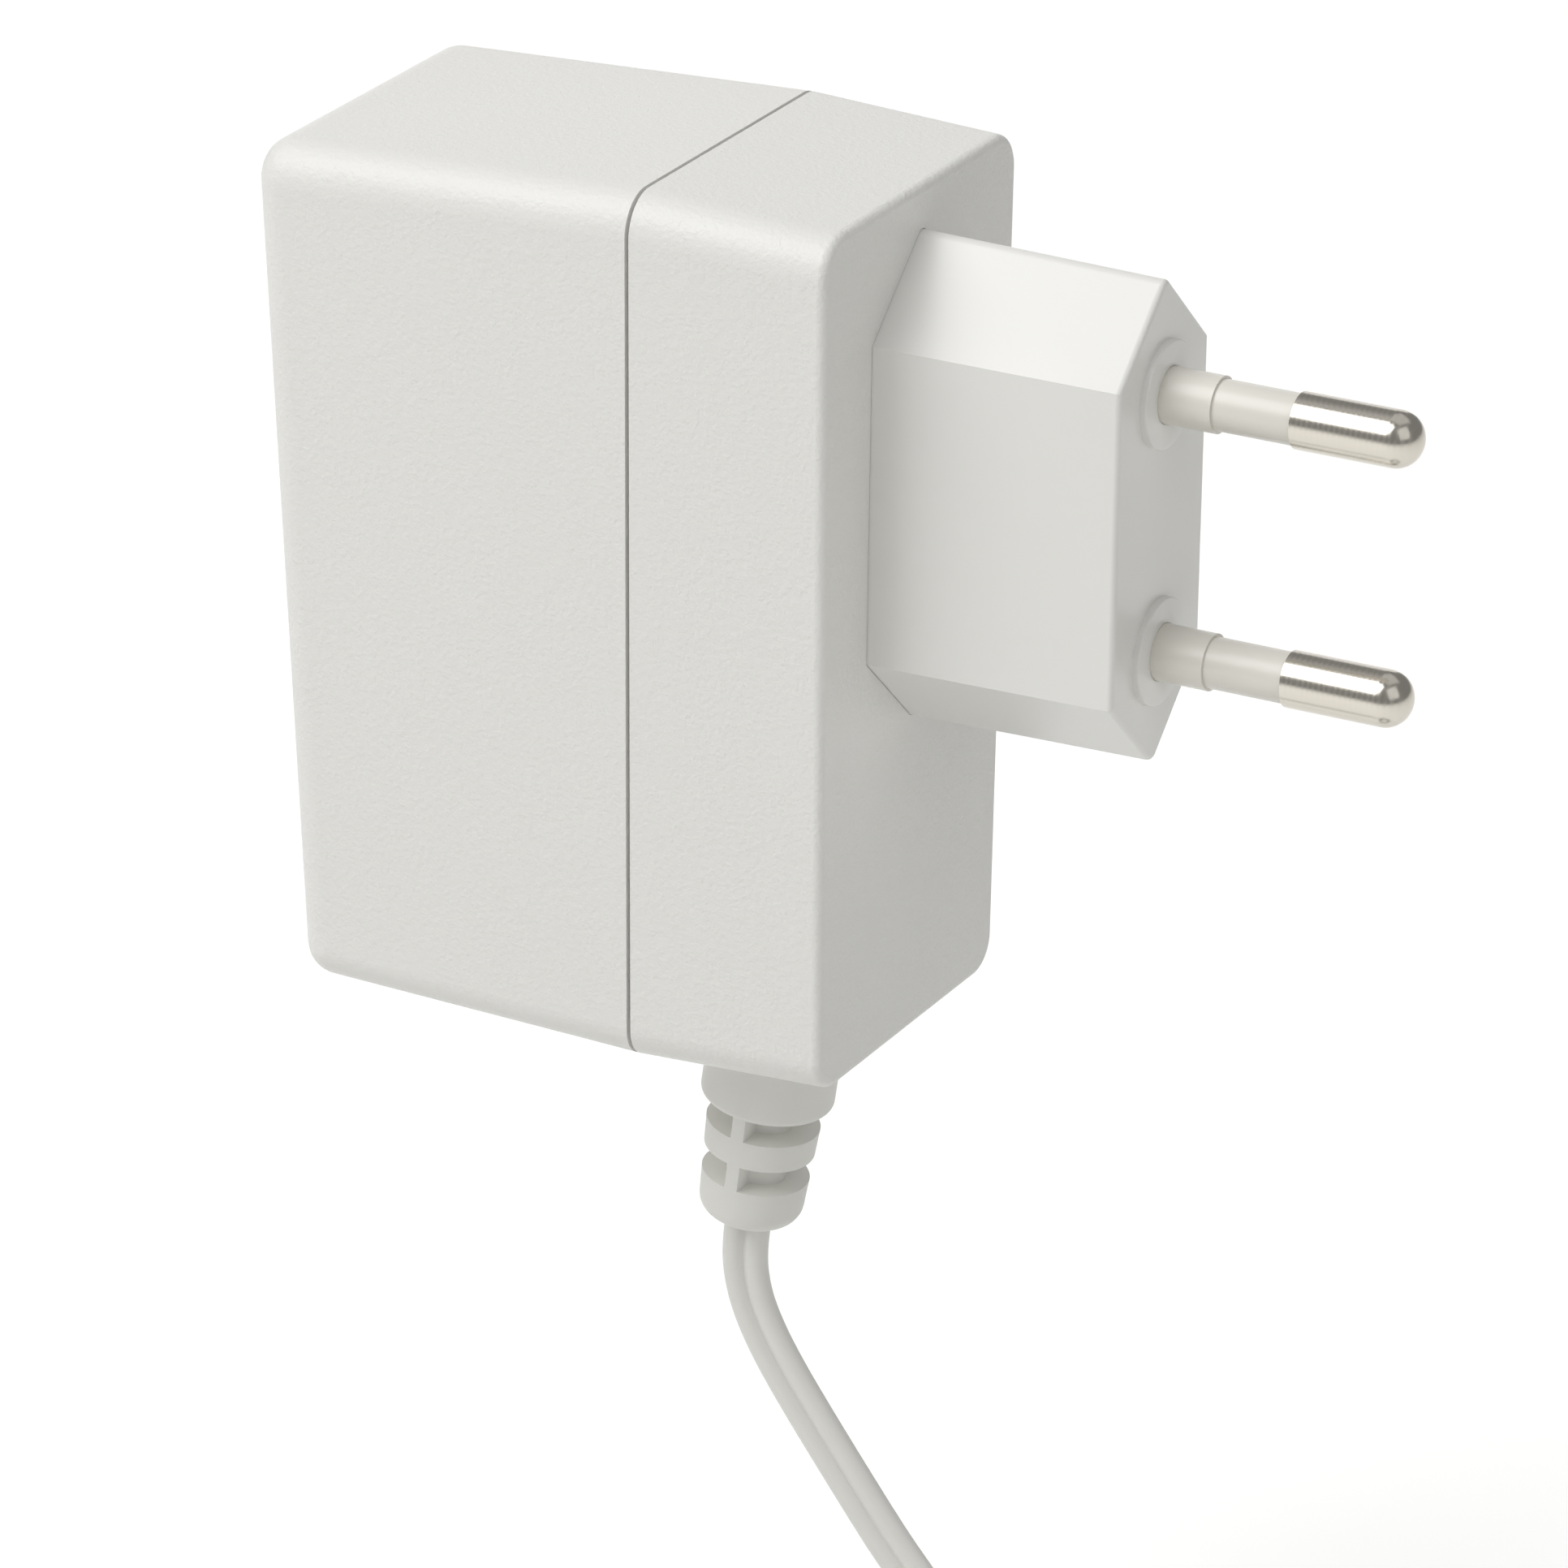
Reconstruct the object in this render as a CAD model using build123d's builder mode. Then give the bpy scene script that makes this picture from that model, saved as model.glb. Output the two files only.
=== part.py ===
"""Plug-in AC transformer: two-part housing with a moulded Europlug nose and a low-voltage output cord."""
import os
from math import radians, tan

from build123d import *

os.makedirs("parts", exist_ok=True)

# All sizes are in millimetres. X points out of the plug into the wall socket, Z is up.
# The origin is the centre of the plug's flat front face, between the two pins.

# Europlug: the standard's sizes
pin_pitch = 18.6
pin_diameter = 4.0
pin_reach = 19.0
nose_height = 35.3
nose_width = 13.6

# Plug nose, drawn with shorter flats than the standard's sheet
nose_flat = 22.8
nose_side_radius = 2.5
nose_tip_radius = 0.8
nose_length = 18.4
nose_growth = 0.35
nose_wall = 1.8
nose_boss_diameter = 7.0
nose_boss_depth = 15.0
collar_diameter = 7.6
collar_height = 0.5
nose_edge_radius = 0.4
insert_clearance = 0.05
flange_overhang = 0.8
flange_thickness = 1.5

# Pins and their insulating sleeves
sleeve_root_diameter = 4.0
sleeve_root_end = 4.3
sleeve_diameter = 3.6
sleeve_end = 10.1
sleeve_start = -4.0
pin_core_diameter = 2.8
pin_tip_flat = 0.1
pin_swage_diameter = 5.0
pin_swage_thickness = 1.0
tag_width = 2.6
tag_thickness = 0.9
tag_length = 5.0
tag_hole_diameter = 1.3
tag_hole_inset = 1.4
tag_solder_inset = 1.5

# Transformer core: scrapless EI laminations, a third of their width across the centre leg
core_height = 35.0
leg_width = core_height / 3
yoke_width = leg_width / 2
window_length = 1.5 * leg_width
core_stack = 10.5
core_hole_diameter = 3.0

# Room round the core inside the housing
wiring_room = 8.63
core_top_room = 2.1
core_back_room = 1.6
cord_room = 22.9

# Housing: a rounded block, a little narrower at its bottom, split across the X axis
base_depth = 15.0
top_width = 28.6
bottom_width = 26.4
housing_wall = 2.0
top_radius = 2.9
bottom_radius = 2.6
inner_radius = 0.6
front_edge_radius = 0.6
end_edge_radius = 2.4
base_draft = 0.045
cover_top_draft = 0.043
cover_bottom_draft = 0.02
cover_side_draft = 0.01
end_slant = -0.0465

# Welded joint between the shells
reveal_half = 0.15
tongue_length = 2.0
tongue_clearance = 0.05

base_front = -nose_length
inner_front = base_front - housing_wall
parting = base_front - base_depth
core_front = inner_front - wiring_room
window_front = core_front - yoke_width
window_back = window_front - window_length
core_back = window_back - yoke_width
end_middle = core_back - core_back_room - housing_wall
housing_top = core_height / 2 + core_top_room + housing_wall
housing_bottom = -core_height / 2 - cord_room - housing_wall
housing_middle = (housing_top + housing_bottom) / 2

# Bobbin and windings
bobbin_clearance = 0.1
bobbin_wall = 0.8
flange_half_width = 10.7
flange_half_height = leg_width / 2 + yoke_width - 0.15
bobbin_flange = 0.9
bobbin_corner_radius = 1.0
primary_length = 8.2
winding_half_height = leg_width / 2 + yoke_width - 0.4
winding_half_width = 10.4
winding_radius = 2.5
tape_thickness = 0.15
ledge_inner = 6.5
ledge_depth = 3.0
ledge_half_height = 8.0

terminal_diameter = 0.8
terminal_offset_y = 8.7
terminal_inset = 1.33
terminal_offset_z = leg_width / 2 - terminal_inset
terminal_length = 4.5
terminal_embed = 2.0

bobbin_back = window_back
bobbin_front = window_front - 2 * bobbin_clearance
terminal_start = bobbin_front + ledge_depth - terminal_embed
terminal_end = terminal_start + terminal_length

# Moulded ribs that hold the core, and the feet of the plug insert that press on it
rib_thickness = 1.5
rib_offset = 4.0
rib_reach = 12.2
rib_front = core_back + rib_reach
foot_half_width = 2.2
foot_inset = 0.35
foot_thickness = 1.9
foot_high = nose_height / 2 - foot_inset
foot_low = foot_high - foot_thickness

# Strain relief: its levels follow the housing's bottom, and its slots the tapered part below the collar
relief_x = -28.45
relief_gap = 0.2
relief_drop = 16.2
relief_lean = 0.14
collar_relief_diameter = 9.6
collar_relief_drop = 6.7
neck_diameter = 5.8
relief_upper_diameter = 8.4
relief_lower_diameter = 7.4
relief_end_radius = 1.5
relief_collar_radius = 0.5
relief_slot_depth = 1.5
relief_web = 1.0
slot_shares = ((0.20, 0.01), (0.63, 0.42))
seat_rise = 2.5
seat_thickness = 1.5
seat_diameter = 9.4
relief_top = housing_bottom - relief_gap
relief_end = relief_top - relief_drop
collar_relief_end = relief_top - collar_relief_drop
seat_level = housing_bottom + seat_rise

# Output cord: flat twin, two insulated wires side by side
wire_diameter = 1.75
cord_width = 2 * wire_diameter
split_wire_diameter = 1.6
lead_diameter = 1.4
fuse_wire_diameter = 0.7
fuse_diameter = 2.6
fuse_length = 6.5
fuse_drop = 4.0
fuse_chamfer = 0.3
fuse_stub = 1.0
fuse_bend_radius = 1.0
fuse_x = -26.0
fuse_high = core_height / 2 - fuse_drop
fuse_low = fuse_high - fuse_length

# Coil of the cord's stored length, on the surface below the object
floor_level = -110.0
coil_rows = 4
coil_columns = 3
coil_mean_radius = 19.25
coil_inner_radius = coil_mean_radius - coil_columns * cord_width / 2
coil_outer_radius = coil_mean_radius + coil_columns * cord_width / 2
coil_last_radius = coil_outer_radius - cord_width / 2
coil_slack = 0.1
coil_height = coil_rows * cord_width + 2 * coil_slack
coil_x = 24.0
coil_y = -coil_last_radius
lead_in_reach = 11.3
lead_out_reach = 11.4
lead_overlap = 6.0
lead_in_x = coil_x - lead_in_reach
lead_out_x = coil_x - lead_out_reach
top_row = floor_level + coil_height - coil_slack - cord_width / 2
bottom_row = floor_level + coil_slack + cord_width / 2
exit_y = coil_y - coil_last_radius
tie_width = 4.0
tie_thickness = 0.6
tie_proud = 0.2
tie_inner_radius = 1.2
tie_outer_radius = 1.8
tie_angle = 40.0

# Low-voltage plug, 5.5 mm outside and 2.1 mm inside
plug_grip_diameter = 9.5
plug_grip_length = 17.0
plug_tail_length = 8.0
plug_tail_diameter = 5.4
plug_tail_growth = 0.6
plug_edge_radius = 1.2
tail_groove_width = 0.9
tail_groove_pitch = 2.0
tail_groove_depth = 0.5
plug_barrel_diameter = 5.5
plug_barrel_length = 9.5
plug_barrel_bore = 4.3
plug_root_diameter = 5.1
plug_contact_diameter = 3.1
plug_contact_bore = 2.1
plug_embed = 4.0
insulator_recess = 0.8
contact_recess = 1.2
plug_tail_x = -14.0
plug_shift = 3.1
plug_y = exit_y + plug_shift
plug_level = floor_level + plug_grip_diameter / 2


def end_x(z):
    """X of the cover's slanted end face at height z."""
    return end_middle + end_slant * (z - housing_middle)


def half_width(z, depth, inset):
    """Half width of the housing at height z, at a depth behind the parting plane."""
    share = (z - housing_bottom) / (housing_top - housing_bottom)
    full = bottom_width + share * (top_width - bottom_width)
    return full / 2 - inset - cover_side_draft * max(depth, 0)


def top_level(depth, inset):
    """Top of the housing; the depth is negative in the base shell and positive in the cover."""
    draft = cover_top_draft if depth > 0 else base_draft
    return housing_top - draft * abs(depth) - inset


def bottom_level(depth, inset):
    """Bottom of the housing at a depth behind the parting plane."""
    draft = cover_bottom_draft if depth > 0 else base_draft
    return housing_bottom + draft * abs(depth) + inset


def housing_section(x, inset, upper_radius, lower_radius):
    """Closed outline across the housing at x, moved inwards by the inset."""
    depth = parting - x
    top = top_level(depth, inset)
    bottom = bottom_level(depth, inset)
    with BuildSketch(Plane.YZ.offset(x)) as section:
        Polygon(
            (-half_width(bottom, depth, inset), bottom),
            (half_width(bottom, depth, inset), bottom),
            (half_width(top, depth, inset), top),
            (-half_width(top, depth, inset), top),
            align=None,
        )
        fillet(section.vertices().group_by(Axis.Y)[-1], upper_radius)
        fillet(section.vertices().group_by(Axis.Y)[0], lower_radius)
    return section.sketch


def hexagon_section(x, growth):
    """Long hexagon of the plug nose at x, grown on every side."""
    side = nose_width / 2 + growth
    tip = nose_height / 2 + growth
    flat = nose_flat / 2 + growth * 0.4
    with BuildSketch(Plane.YZ.offset(x)) as section:
        Polygon((0, -tip), (side, -flat), (side, flat), (0, tip), (-side, flat), (-side, -flat), align=None)
        tips = section.vertices().filter_by(lambda corner: abs(corner.X) < side / 2)
        sides = section.vertices().filter_by(lambda corner: abs(corner.X) > side / 2)
        fillet(tips, nose_tip_radius)
        fillet(sides, nose_side_radius)
    return section.sketch


def wire(points, radii, diameter):
    """Round wire along straight runs joined by arcs."""
    with BuildPart() as piece:
        with BuildLine() as route:
            FilletPolyline(*points, radius=radii)
        with BuildSketch(Plane(origin=route.line @ 0, z_dir=route.line % 0)):
            Circle(diameter / 2)
        sweep()
    return piece.part


def route_radii(points):
    """Largest arc that two runs leave room for at each corner of a route."""
    radii = []
    for before, corner, after in zip(points, points[1:], points[2:]):
        into = Vector(*corner) - Vector(*before)
        away = Vector(*after) - Vector(*corner)
        turn = into.get_angle(away)
        radii.append(0.45 * min(into.length, away.length) / tan(radians(turn / 2)))
    return radii


# Cover shell: the deeper rear half, with the joint's tongue and the ribs that hold the core
end_plane = Plane(origin=(end_middle, 0, housing_middle), z_dir=(1, 0, -end_slant))
inner_end_plane = Plane(origin=(end_middle + housing_wall, 0, housing_middle), z_dir=(1, 0, -end_slant))
beyond_end = end_middle - 4.0
tongue_end = parting + tongue_length
tongue_inset = housing_wall / 2 + tongue_clearance
rebate_inset = housing_wall / 2
middle_top_radius = top_radius - rebate_inset
middle_bottom_radius = bottom_radius - rebate_inset
cover_rim = parting - reveal_half
base_rim = parting + reveal_half

with BuildPart() as cover_cavity:
    loft(
        sections=[
            housing_section(parting, housing_wall, inner_radius, inner_radius),
            housing_section(beyond_end, housing_wall, inner_radius, inner_radius),
        ],
        ruled=True,
    )
    split(bisect_by=inner_end_plane, keep=Keep.TOP)

with BuildPart() as base_cavity:
    loft(
        sections=[
            housing_section(parting, housing_wall, inner_radius, inner_radius),
            housing_section(inner_front, housing_wall, inner_radius, inner_radius),
        ],
        ruled=True,
    )

rib_low = bottom_level(parting - rib_front, housing_wall / 2)
rib_low_back = bottom_level(parting - core_back, housing_wall / 2)
rib_high = top_level(parting - rib_front, housing_wall / 2)
rib_high_back = top_level(parting - core_back, housing_wall / 2)

with BuildPart() as core_ribs:
    with BuildSketch(
        Plane.XZ.offset(rib_offset - rib_thickness / 2),
        Plane.XZ.offset(-rib_offset - rib_thickness / 2),
    ):
        Polygon(
            (rib_front, rib_low),
            (end_x(rib_low_back) + housing_wall / 2, rib_low_back),
            (end_x(rib_high_back) + housing_wall / 2, rib_high_back),
            (rib_front, rib_high),
            (rib_front, core_height / 2),
            (core_back, core_height / 2),
            (core_back, -core_height / 2),
            (rib_front, -core_height / 2),
            align=None,
        )
    extrude(amount=rib_thickness)

with BuildPart() as cover_shell:
    loft(
        sections=[
            housing_section(cover_rim, 0, top_radius, bottom_radius),
            housing_section(beyond_end, 0, top_radius, bottom_radius),
        ],
        ruled=True,
    )
    split(bisect_by=end_plane, keep=Keep.TOP)
    fillet(cover_shell.faces().sort_by(Axis.X)[0].edges(), end_edge_radius)
    loft(
        sections=[
            housing_section(cover_rim, tongue_inset, middle_top_radius, middle_bottom_radius),
            housing_section(tongue_end, tongue_inset, middle_top_radius, middle_bottom_radius),
        ],
        ruled=True,
    )
    add(cover_cavity.part, mode=Mode.SUBTRACT)
    add(base_cavity.part, mode=Mode.SUBTRACT)
    add(core_ribs.part)
cover_shell.part.label = "cover_shell"
export_step(cover_shell.part, "parts/cover_shell.step")

# Base shell: the front half, with the window for the plug insert and the hole for the strain relief
with BuildPart() as base_shell:
    loft(
        sections=[
            housing_section(base_rim, 0, top_radius, bottom_radius),
            housing_section(base_front, 0, top_radius, bottom_radius),
        ],
        ruled=True,
    )
    fillet(base_shell.faces().sort_by(Axis.X)[-1].edges(), front_edge_radius)
    with BuildSketch(Plane.XY.offset(relief_top)):
        with Locations((relief_x, 0)):
            Circle(collar_relief_diameter / 2)
    extrude(amount=housing_wall)
    add(base_cavity.part, mode=Mode.SUBTRACT)
    loft(
        sections=[
            housing_section(parting, rebate_inset, middle_top_radius, middle_bottom_radius),
            housing_section(tongue_end, rebate_inset, middle_top_radius, middle_bottom_radius),
        ],
        ruled=True,
        mode=Mode.SUBTRACT,
    )
    with BuildSketch(Plane.XY.offset(seat_level)):
        with Locations((tongue_end, 0)):
            Rectangle(seat_diameter - 2, seat_diameter, align=(Align.MIN, Align.CENTER))
    extrude(amount=-housing_wall / 2)
    with BuildSketch(Plane.XY.offset(relief_top)):
        with Locations((relief_x, 0)):
            Circle(neck_diameter / 2)
    extrude(amount=seat_level - relief_top, mode=Mode.SUBTRACT)
    window_section = hexagon_section(inner_front, nose_growth + insert_clearance)
    extrude(window_section, amount=housing_wall, mode=Mode.SUBTRACT)
base_shell.part.label = "base_shell"
export_step(base_shell.part, "parts/base_shell.step")

# Plug insert: the hexagonal nose, hollow behind, with bosses round the pins and feet behind its flange
insert_back = inner_front - flange_thickness
pin_points = [(0, pin_pitch / 2), (0, -pin_pitch / 2)]

with BuildPart() as plug_insert:
    loft(sections=[hexagon_section(0, 0), hexagon_section(base_front, nose_growth)], ruled=True)
    fillet(plug_insert.faces().sort_by(Axis.X)[-1].edges(), nose_edge_radius)
    extrude(hexagon_section(inner_front, nose_growth), amount=housing_wall)
    extrude(hexagon_section(insert_back, nose_growth + flange_overhang), amount=flange_thickness)
    loft(
        sections=[
            hexagon_section(-nose_wall, -nose_wall),
            hexagon_section(insert_back, nose_growth - nose_wall),
        ],
        ruled=True,
        mode=Mode.SUBTRACT,
    )
    with BuildSketch(Plane.YZ.offset(-nose_boss_depth)):
        with Locations(*pin_points):
            Circle(nose_boss_diameter / 2)
    extrude(amount=nose_boss_depth - nose_wall)
    with BuildSketch(Plane.YZ):
        with Locations(*pin_points):
            Circle(collar_diameter / 2)
    extrude(amount=collar_height)
    with BuildSketch(Plane.XY.offset(foot_low), Plane.XY.offset(-foot_high)):
        with Locations((core_front, 0)):
            Rectangle(inner_front - core_front, 2 * foot_half_width, align=(Align.MIN, Align.CENTER))
    extrude(amount=foot_high - foot_low)
    with BuildSketch(Plane.YZ.offset(-nose_boss_depth)):
        with Locations(*pin_points):
            Circle(pin_core_diameter / 2)
    extrude(amount=nose_boss_depth + collar_height, mode=Mode.SUBTRACT)
    with BuildSketch(Plane.YZ.offset(sleeve_start)):
        with Locations(*pin_points):
            Circle(sleeve_root_diameter / 2)
    extrude(amount=collar_height - sleeve_start, mode=Mode.SUBTRACT)
plug_insert.part.label = "plug_insert"
export_step(plug_insert.part, "parts/plug_insert.step")

# Contact pins: turned brass with a round tip, a thinner core under the sleeve and a flat tag to solder to
for pin_name, pin_z in (("pin_upper", pin_pitch / 2), ("pin_lower", -pin_pitch / 2)):
    with BuildPart() as pin:
        with BuildSketch(Plane.YZ.offset(-nose_boss_depth - pin_swage_thickness)):
            with Locations((0, pin_z)):
                Circle(pin_swage_diameter / 2)
        extrude(amount=pin_swage_thickness)
        with BuildSketch(Plane.YZ.offset(-nose_boss_depth)):
            with Locations((0, pin_z)):
                Circle(pin_core_diameter / 2)
        extrude(amount=nose_boss_depth + sleeve_end)
        with BuildSketch(Plane.YZ.offset(sleeve_end)):
            with Locations((0, pin_z)):
                Circle(pin_diameter / 2)
        extrude(amount=pin_reach - sleeve_end)
        fillet(pin.faces().sort_by(Axis.X)[-1].edges(), pin_diameter / 2 - pin_tip_flat)
        tag_start = -nose_boss_depth - pin_swage_thickness
        with Locations((tag_start, 0, pin_z)):
            Box(tag_length, tag_thickness, tag_width, align=(Align.MAX, Align.CENTER, Align.CENTER))
        with Locations(Location((tag_start - tag_hole_inset, 0, pin_z), (90, 0, 0))):
            Cylinder(tag_hole_diameter / 2, tag_width, mode=Mode.SUBTRACT)
    pin.part.label = pin_name
    export_step(pin.part, f"parts/{pin_name}.step")

# Insulating sleeves: stepped tubes, moulded on the pins from inside the nose to half their length
for sleeve_name, pin_z in (("pin_sleeve_upper", pin_pitch / 2), ("pin_sleeve_lower", -pin_pitch / 2)):
    with BuildPart() as sleeve:
        with BuildSketch(Plane.YZ.offset(sleeve_start)):
            with Locations((0, pin_z)):
                Circle(sleeve_root_diameter / 2)
        extrude(amount=sleeve_root_end - sleeve_start)
        with BuildSketch(Plane.YZ.offset(sleeve_root_end)):
            with Locations((0, pin_z)):
                Circle(sleeve_diameter / 2)
        extrude(amount=sleeve_end - sleeve_root_end)
        with BuildSketch(Plane.YZ.offset(sleeve_start)):
            with Locations((0, pin_z)):
                Circle(pin_core_diameter / 2)
        extrude(amount=sleeve_end - sleeve_start, mode=Mode.SUBTRACT)
    sleeve.part.label = sleeve_name
    export_step(sleeve.part, f"parts/{sleeve_name}.step")

# Laminated core: a stack of E plates and a stack of I plates, welded edge to edge
hole_inset = yoke_width / 2
hole_height = core_height / 2 - hole_inset

with BuildPart() as core_e_plates:
    with BuildSketch(Plane.XZ.offset(-core_stack / 2)):
        with Locations((core_back, 0)):
            Rectangle(window_front - core_back, core_height, align=(Align.MIN, Align.CENTER))
        with Locations((window_back, leg_width / 2), (window_back, -leg_width / 2 - yoke_width)):
            Rectangle(window_length, yoke_width, align=(Align.MIN, Align.MIN), mode=Mode.SUBTRACT)
        with Locations((core_back + hole_inset, hole_height), (core_back + hole_inset, -hole_height)):
            Circle(core_hole_diameter / 2, mode=Mode.SUBTRACT)
    extrude(amount=core_stack)
core_e_plates.part.label = "core_e_plates"
export_step(core_e_plates.part, "parts/core_e_plates.step")

with BuildPart() as core_i_plates:
    with BuildSketch(Plane.XZ.offset(-core_stack / 2)):
        with Locations((window_front, 0)):
            Rectangle(yoke_width, core_height, align=(Align.MIN, Align.CENTER))
        with Locations((core_front - hole_inset, hole_height), (core_front - hole_inset, -hole_height)):
            Circle(core_hole_diameter / 2, mode=Mode.SUBTRACT)
    extrude(amount=core_stack)
core_i_plates.part.label = "core_i_plates"
export_step(core_i_plates.part, "parts/core_i_plates.step")

# Bobbin: a tube over the centre leg with three flanges, which keep the windings apart, and two pin ledges
bore_width = core_stack + 2 * bobbin_clearance
bore_height = leg_width + 2 * bobbin_clearance
tube_width = bore_width + 2 * bobbin_wall
tube_height = bore_height + 2 * bobbin_wall
primary_front = bobbin_front - bobbin_flange
primary_back = primary_front - primary_length
secondary_front = primary_back - bobbin_flange
secondary_back = bobbin_back + bobbin_flange
terminal_points = [
    (terminal_offset_y, terminal_offset_z),
    (terminal_offset_y, -terminal_offset_z),
    (-terminal_offset_y, terminal_offset_z),
    (-terminal_offset_y, -terminal_offset_z),
]
ledge_width = flange_half_width - ledge_inner

with BuildPart() as bobbin:
    with BuildSketch(Plane.YZ.offset(bobbin_back)):
        Rectangle(tube_width, tube_height)
    extrude(amount=bobbin_front - bobbin_back)
    with BuildSketch(
        Plane.YZ.offset(bobbin_back),
        Plane.YZ.offset(primary_back - bobbin_flange),
        Plane.YZ.offset(primary_front),
    ):
        RectangleRounded(2 * flange_half_width, 2 * flange_half_height, bobbin_corner_radius)
    extrude(amount=bobbin_flange)
    with BuildSketch(Plane.YZ.offset(bobbin_front - bobbin_flange / 2)):
        with Locations((ledge_inner + ledge_width / 2, 0), (-ledge_inner - ledge_width / 2, 0)):
            Rectangle(ledge_width, 2 * ledge_half_height)
    extrude(amount=ledge_depth + bobbin_flange / 2)
    with BuildSketch(Plane.YZ.offset(bobbin_back)):
        Rectangle(bore_width, bore_height)
    extrude(amount=bobbin_front - bobbin_back, mode=Mode.SUBTRACT)
    with BuildSketch(Plane.YZ.offset(terminal_start)):
        with Locations(*terminal_points):
            Circle(terminal_diameter / 2)
    extrude(amount=terminal_embed, mode=Mode.SUBTRACT)
bobbin.part.label = "bobbin"
export_step(bobbin.part, "parts/bobbin.step")

# Terminal pins: four tinned wires pressed into the bobbin's ledges
with BuildPart() as terminal_pins:
    with BuildSketch(Plane.YZ.offset(terminal_start)):
        with Locations(*terminal_points):
            Circle(terminal_diameter / 2)
    extrude(amount=terminal_end - terminal_start)
terminal_pins.part.label = "terminal_pins"
export_step(terminal_pins.part, "parts/terminal_pins.step")

# Windings, each one solid of its turns, and the tape round them
windings = (
    ("primary", primary_back, primary_length),
    ("secondary", secondary_back, secondary_front - secondary_back),
)
for winding_name, winding_back, winding_length in windings:
    with BuildPart() as winding:
        with BuildSketch(Plane.YZ.offset(winding_back)):
            RectangleRounded(2 * winding_half_width, 2 * winding_half_height, winding_radius)
            Rectangle(tube_width, tube_height, mode=Mode.SUBTRACT)
        extrude(amount=winding_length)
    winding.part.label = f"{winding_name}_winding"
    export_step(winding.part, f"parts/{winding_name}_winding.step")
    with BuildPart() as tape:
        with BuildSketch(Plane.YZ.offset(winding_back)):
            RectangleRounded(
                2 * (winding_half_width + tape_thickness),
                2 * (winding_half_height + tape_thickness),
                winding_radius + tape_thickness,
            )
            RectangleRounded(
                2 * winding_half_width,
                2 * winding_half_height,
                winding_radius,
                mode=Mode.SUBTRACT,
            )
        extrude(amount=winding_length)
    tape.part.label = f"{winding_name}_tape"
    export_step(tape.part, f"parts/{winding_name}_tape.step")

# Thermal fuse: a small can on its own wires, between the upper pin's lead and a primary terminal
fuse_bend = [
    (fuse_x, terminal_offset_y, fuse_low + fuse_stub),
    (fuse_x, terminal_offset_y, terminal_offset_z),
    (terminal_end, terminal_offset_y, terminal_offset_z),
]
with BuildPart() as thermal_fuse:
    with BuildSketch(Plane.XY.offset(fuse_low)):
        with Locations((fuse_x, terminal_offset_y)):
            Circle(fuse_diameter / 2)
    extrude(amount=fuse_high - fuse_low)
    chamfer(thermal_fuse.edges(), fuse_chamfer)
    with BuildSketch(Plane.XY.offset(fuse_high)):
        with Locations((fuse_x, terminal_offset_y)):
            Circle(fuse_wire_diameter / 2)
    extrude(amount=fuse_stub)
    add(wire(fuse_bend, fuse_bend_radius, fuse_wire_diameter))
thermal_fuse.part.label = "thermal_fuse"
export_step(thermal_fuse.part, "parts/thermal_fuse.step")

# Primary leads: insulated wires from the pins' tags to the fuse and to a primary terminal
tag_face = tag_thickness / 2
lead_start_x = -nose_boss_depth - pin_swage_thickness - tag_length + tag_solder_inset
lead_turn_x = lead_start_x - 3.9
lead_top = core_height / 2 - 0.3
upper_lead_points = [
    (lead_start_x, tag_face, pin_pitch / 2),
    (lead_start_x, 4.2, pin_pitch / 2),
    (lead_turn_x, 4.3, 9.5),
    (-25.4, 6.6, lead_top),
    (fuse_x, terminal_offset_y, lead_top - 0.2),
    (fuse_x, terminal_offset_y, fuse_high + fuse_stub),
]
lower_lead_points = [
    (lead_start_x, tag_face, -pin_pitch / 2),
    (lead_start_x, 4.2, -pin_pitch / 2),
    (lead_turn_x, 4.3, -9.2),
    (-26.0, 8.3, -6.2),
    (-27.4, terminal_offset_y, -terminal_offset_z),
    (terminal_end, terminal_offset_y, -terminal_offset_z),
]
primary_leads = (("primary_lead_upper", upper_lead_points), ("primary_lead_lower", lower_lead_points))
for lead_name, lead_points in primary_leads:
    lead = wire(lead_points, route_radii(lead_points), lead_diameter)
    lead.label = lead_name
    export_step(lead, f"parts/{lead_name}.step")

# Cord tail: the flat cord inside the strain relief, split into its two wires inside the housing
relief_end_x = relief_x + relief_lean * (relief_end - relief_top)
split_level = seat_level + seat_thickness + 4.3
tail_points = [(relief_end_x, 0, relief_end), (relief_x, 0, relief_top), (relief_x, 0, split_level)]
outer_wire_points = [
    (relief_x + wire_diameter / 2, 0, split_level - 0.5),
    (relief_x + wire_diameter / 2, 0, split_level + 2.5),
    (-25.2, -4.6, split_level + 8.5),
    (-24.0, -8.2, -17.0),
    (-24.0, -8.4, 1.0),
    (-26.8, -terminal_offset_y, terminal_offset_z),
    (terminal_end, -terminal_offset_y, terminal_offset_z),
]
inner_wire_points = [
    (relief_x - wire_diameter / 2, 0, split_level - 0.5),
    (relief_x - wire_diameter / 2, 0, split_level + 2.5),
    (-27.6, -4.6, split_level + 8.5),
    (-26.8, -8.2, -17.0),
    (-26.8, -8.5, -7.0),
    (-27.8, -terminal_offset_y, -terminal_offset_z),
    (terminal_end, -terminal_offset_y, -terminal_offset_z),
]
relief_axis = Vector(relief_lean, 0, 1).normalized()

with BuildPart() as cord_in_relief:
    with BuildLine() as tail_route:
        FilletPolyline(*tail_points, radius=60)
    with BuildSketch(Plane(origin=tail_points[0], x_dir=(1, 0, -relief_lean), z_dir=relief_axis)):
        SlotOverall(cord_width, wire_diameter)
    sweep()

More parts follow.
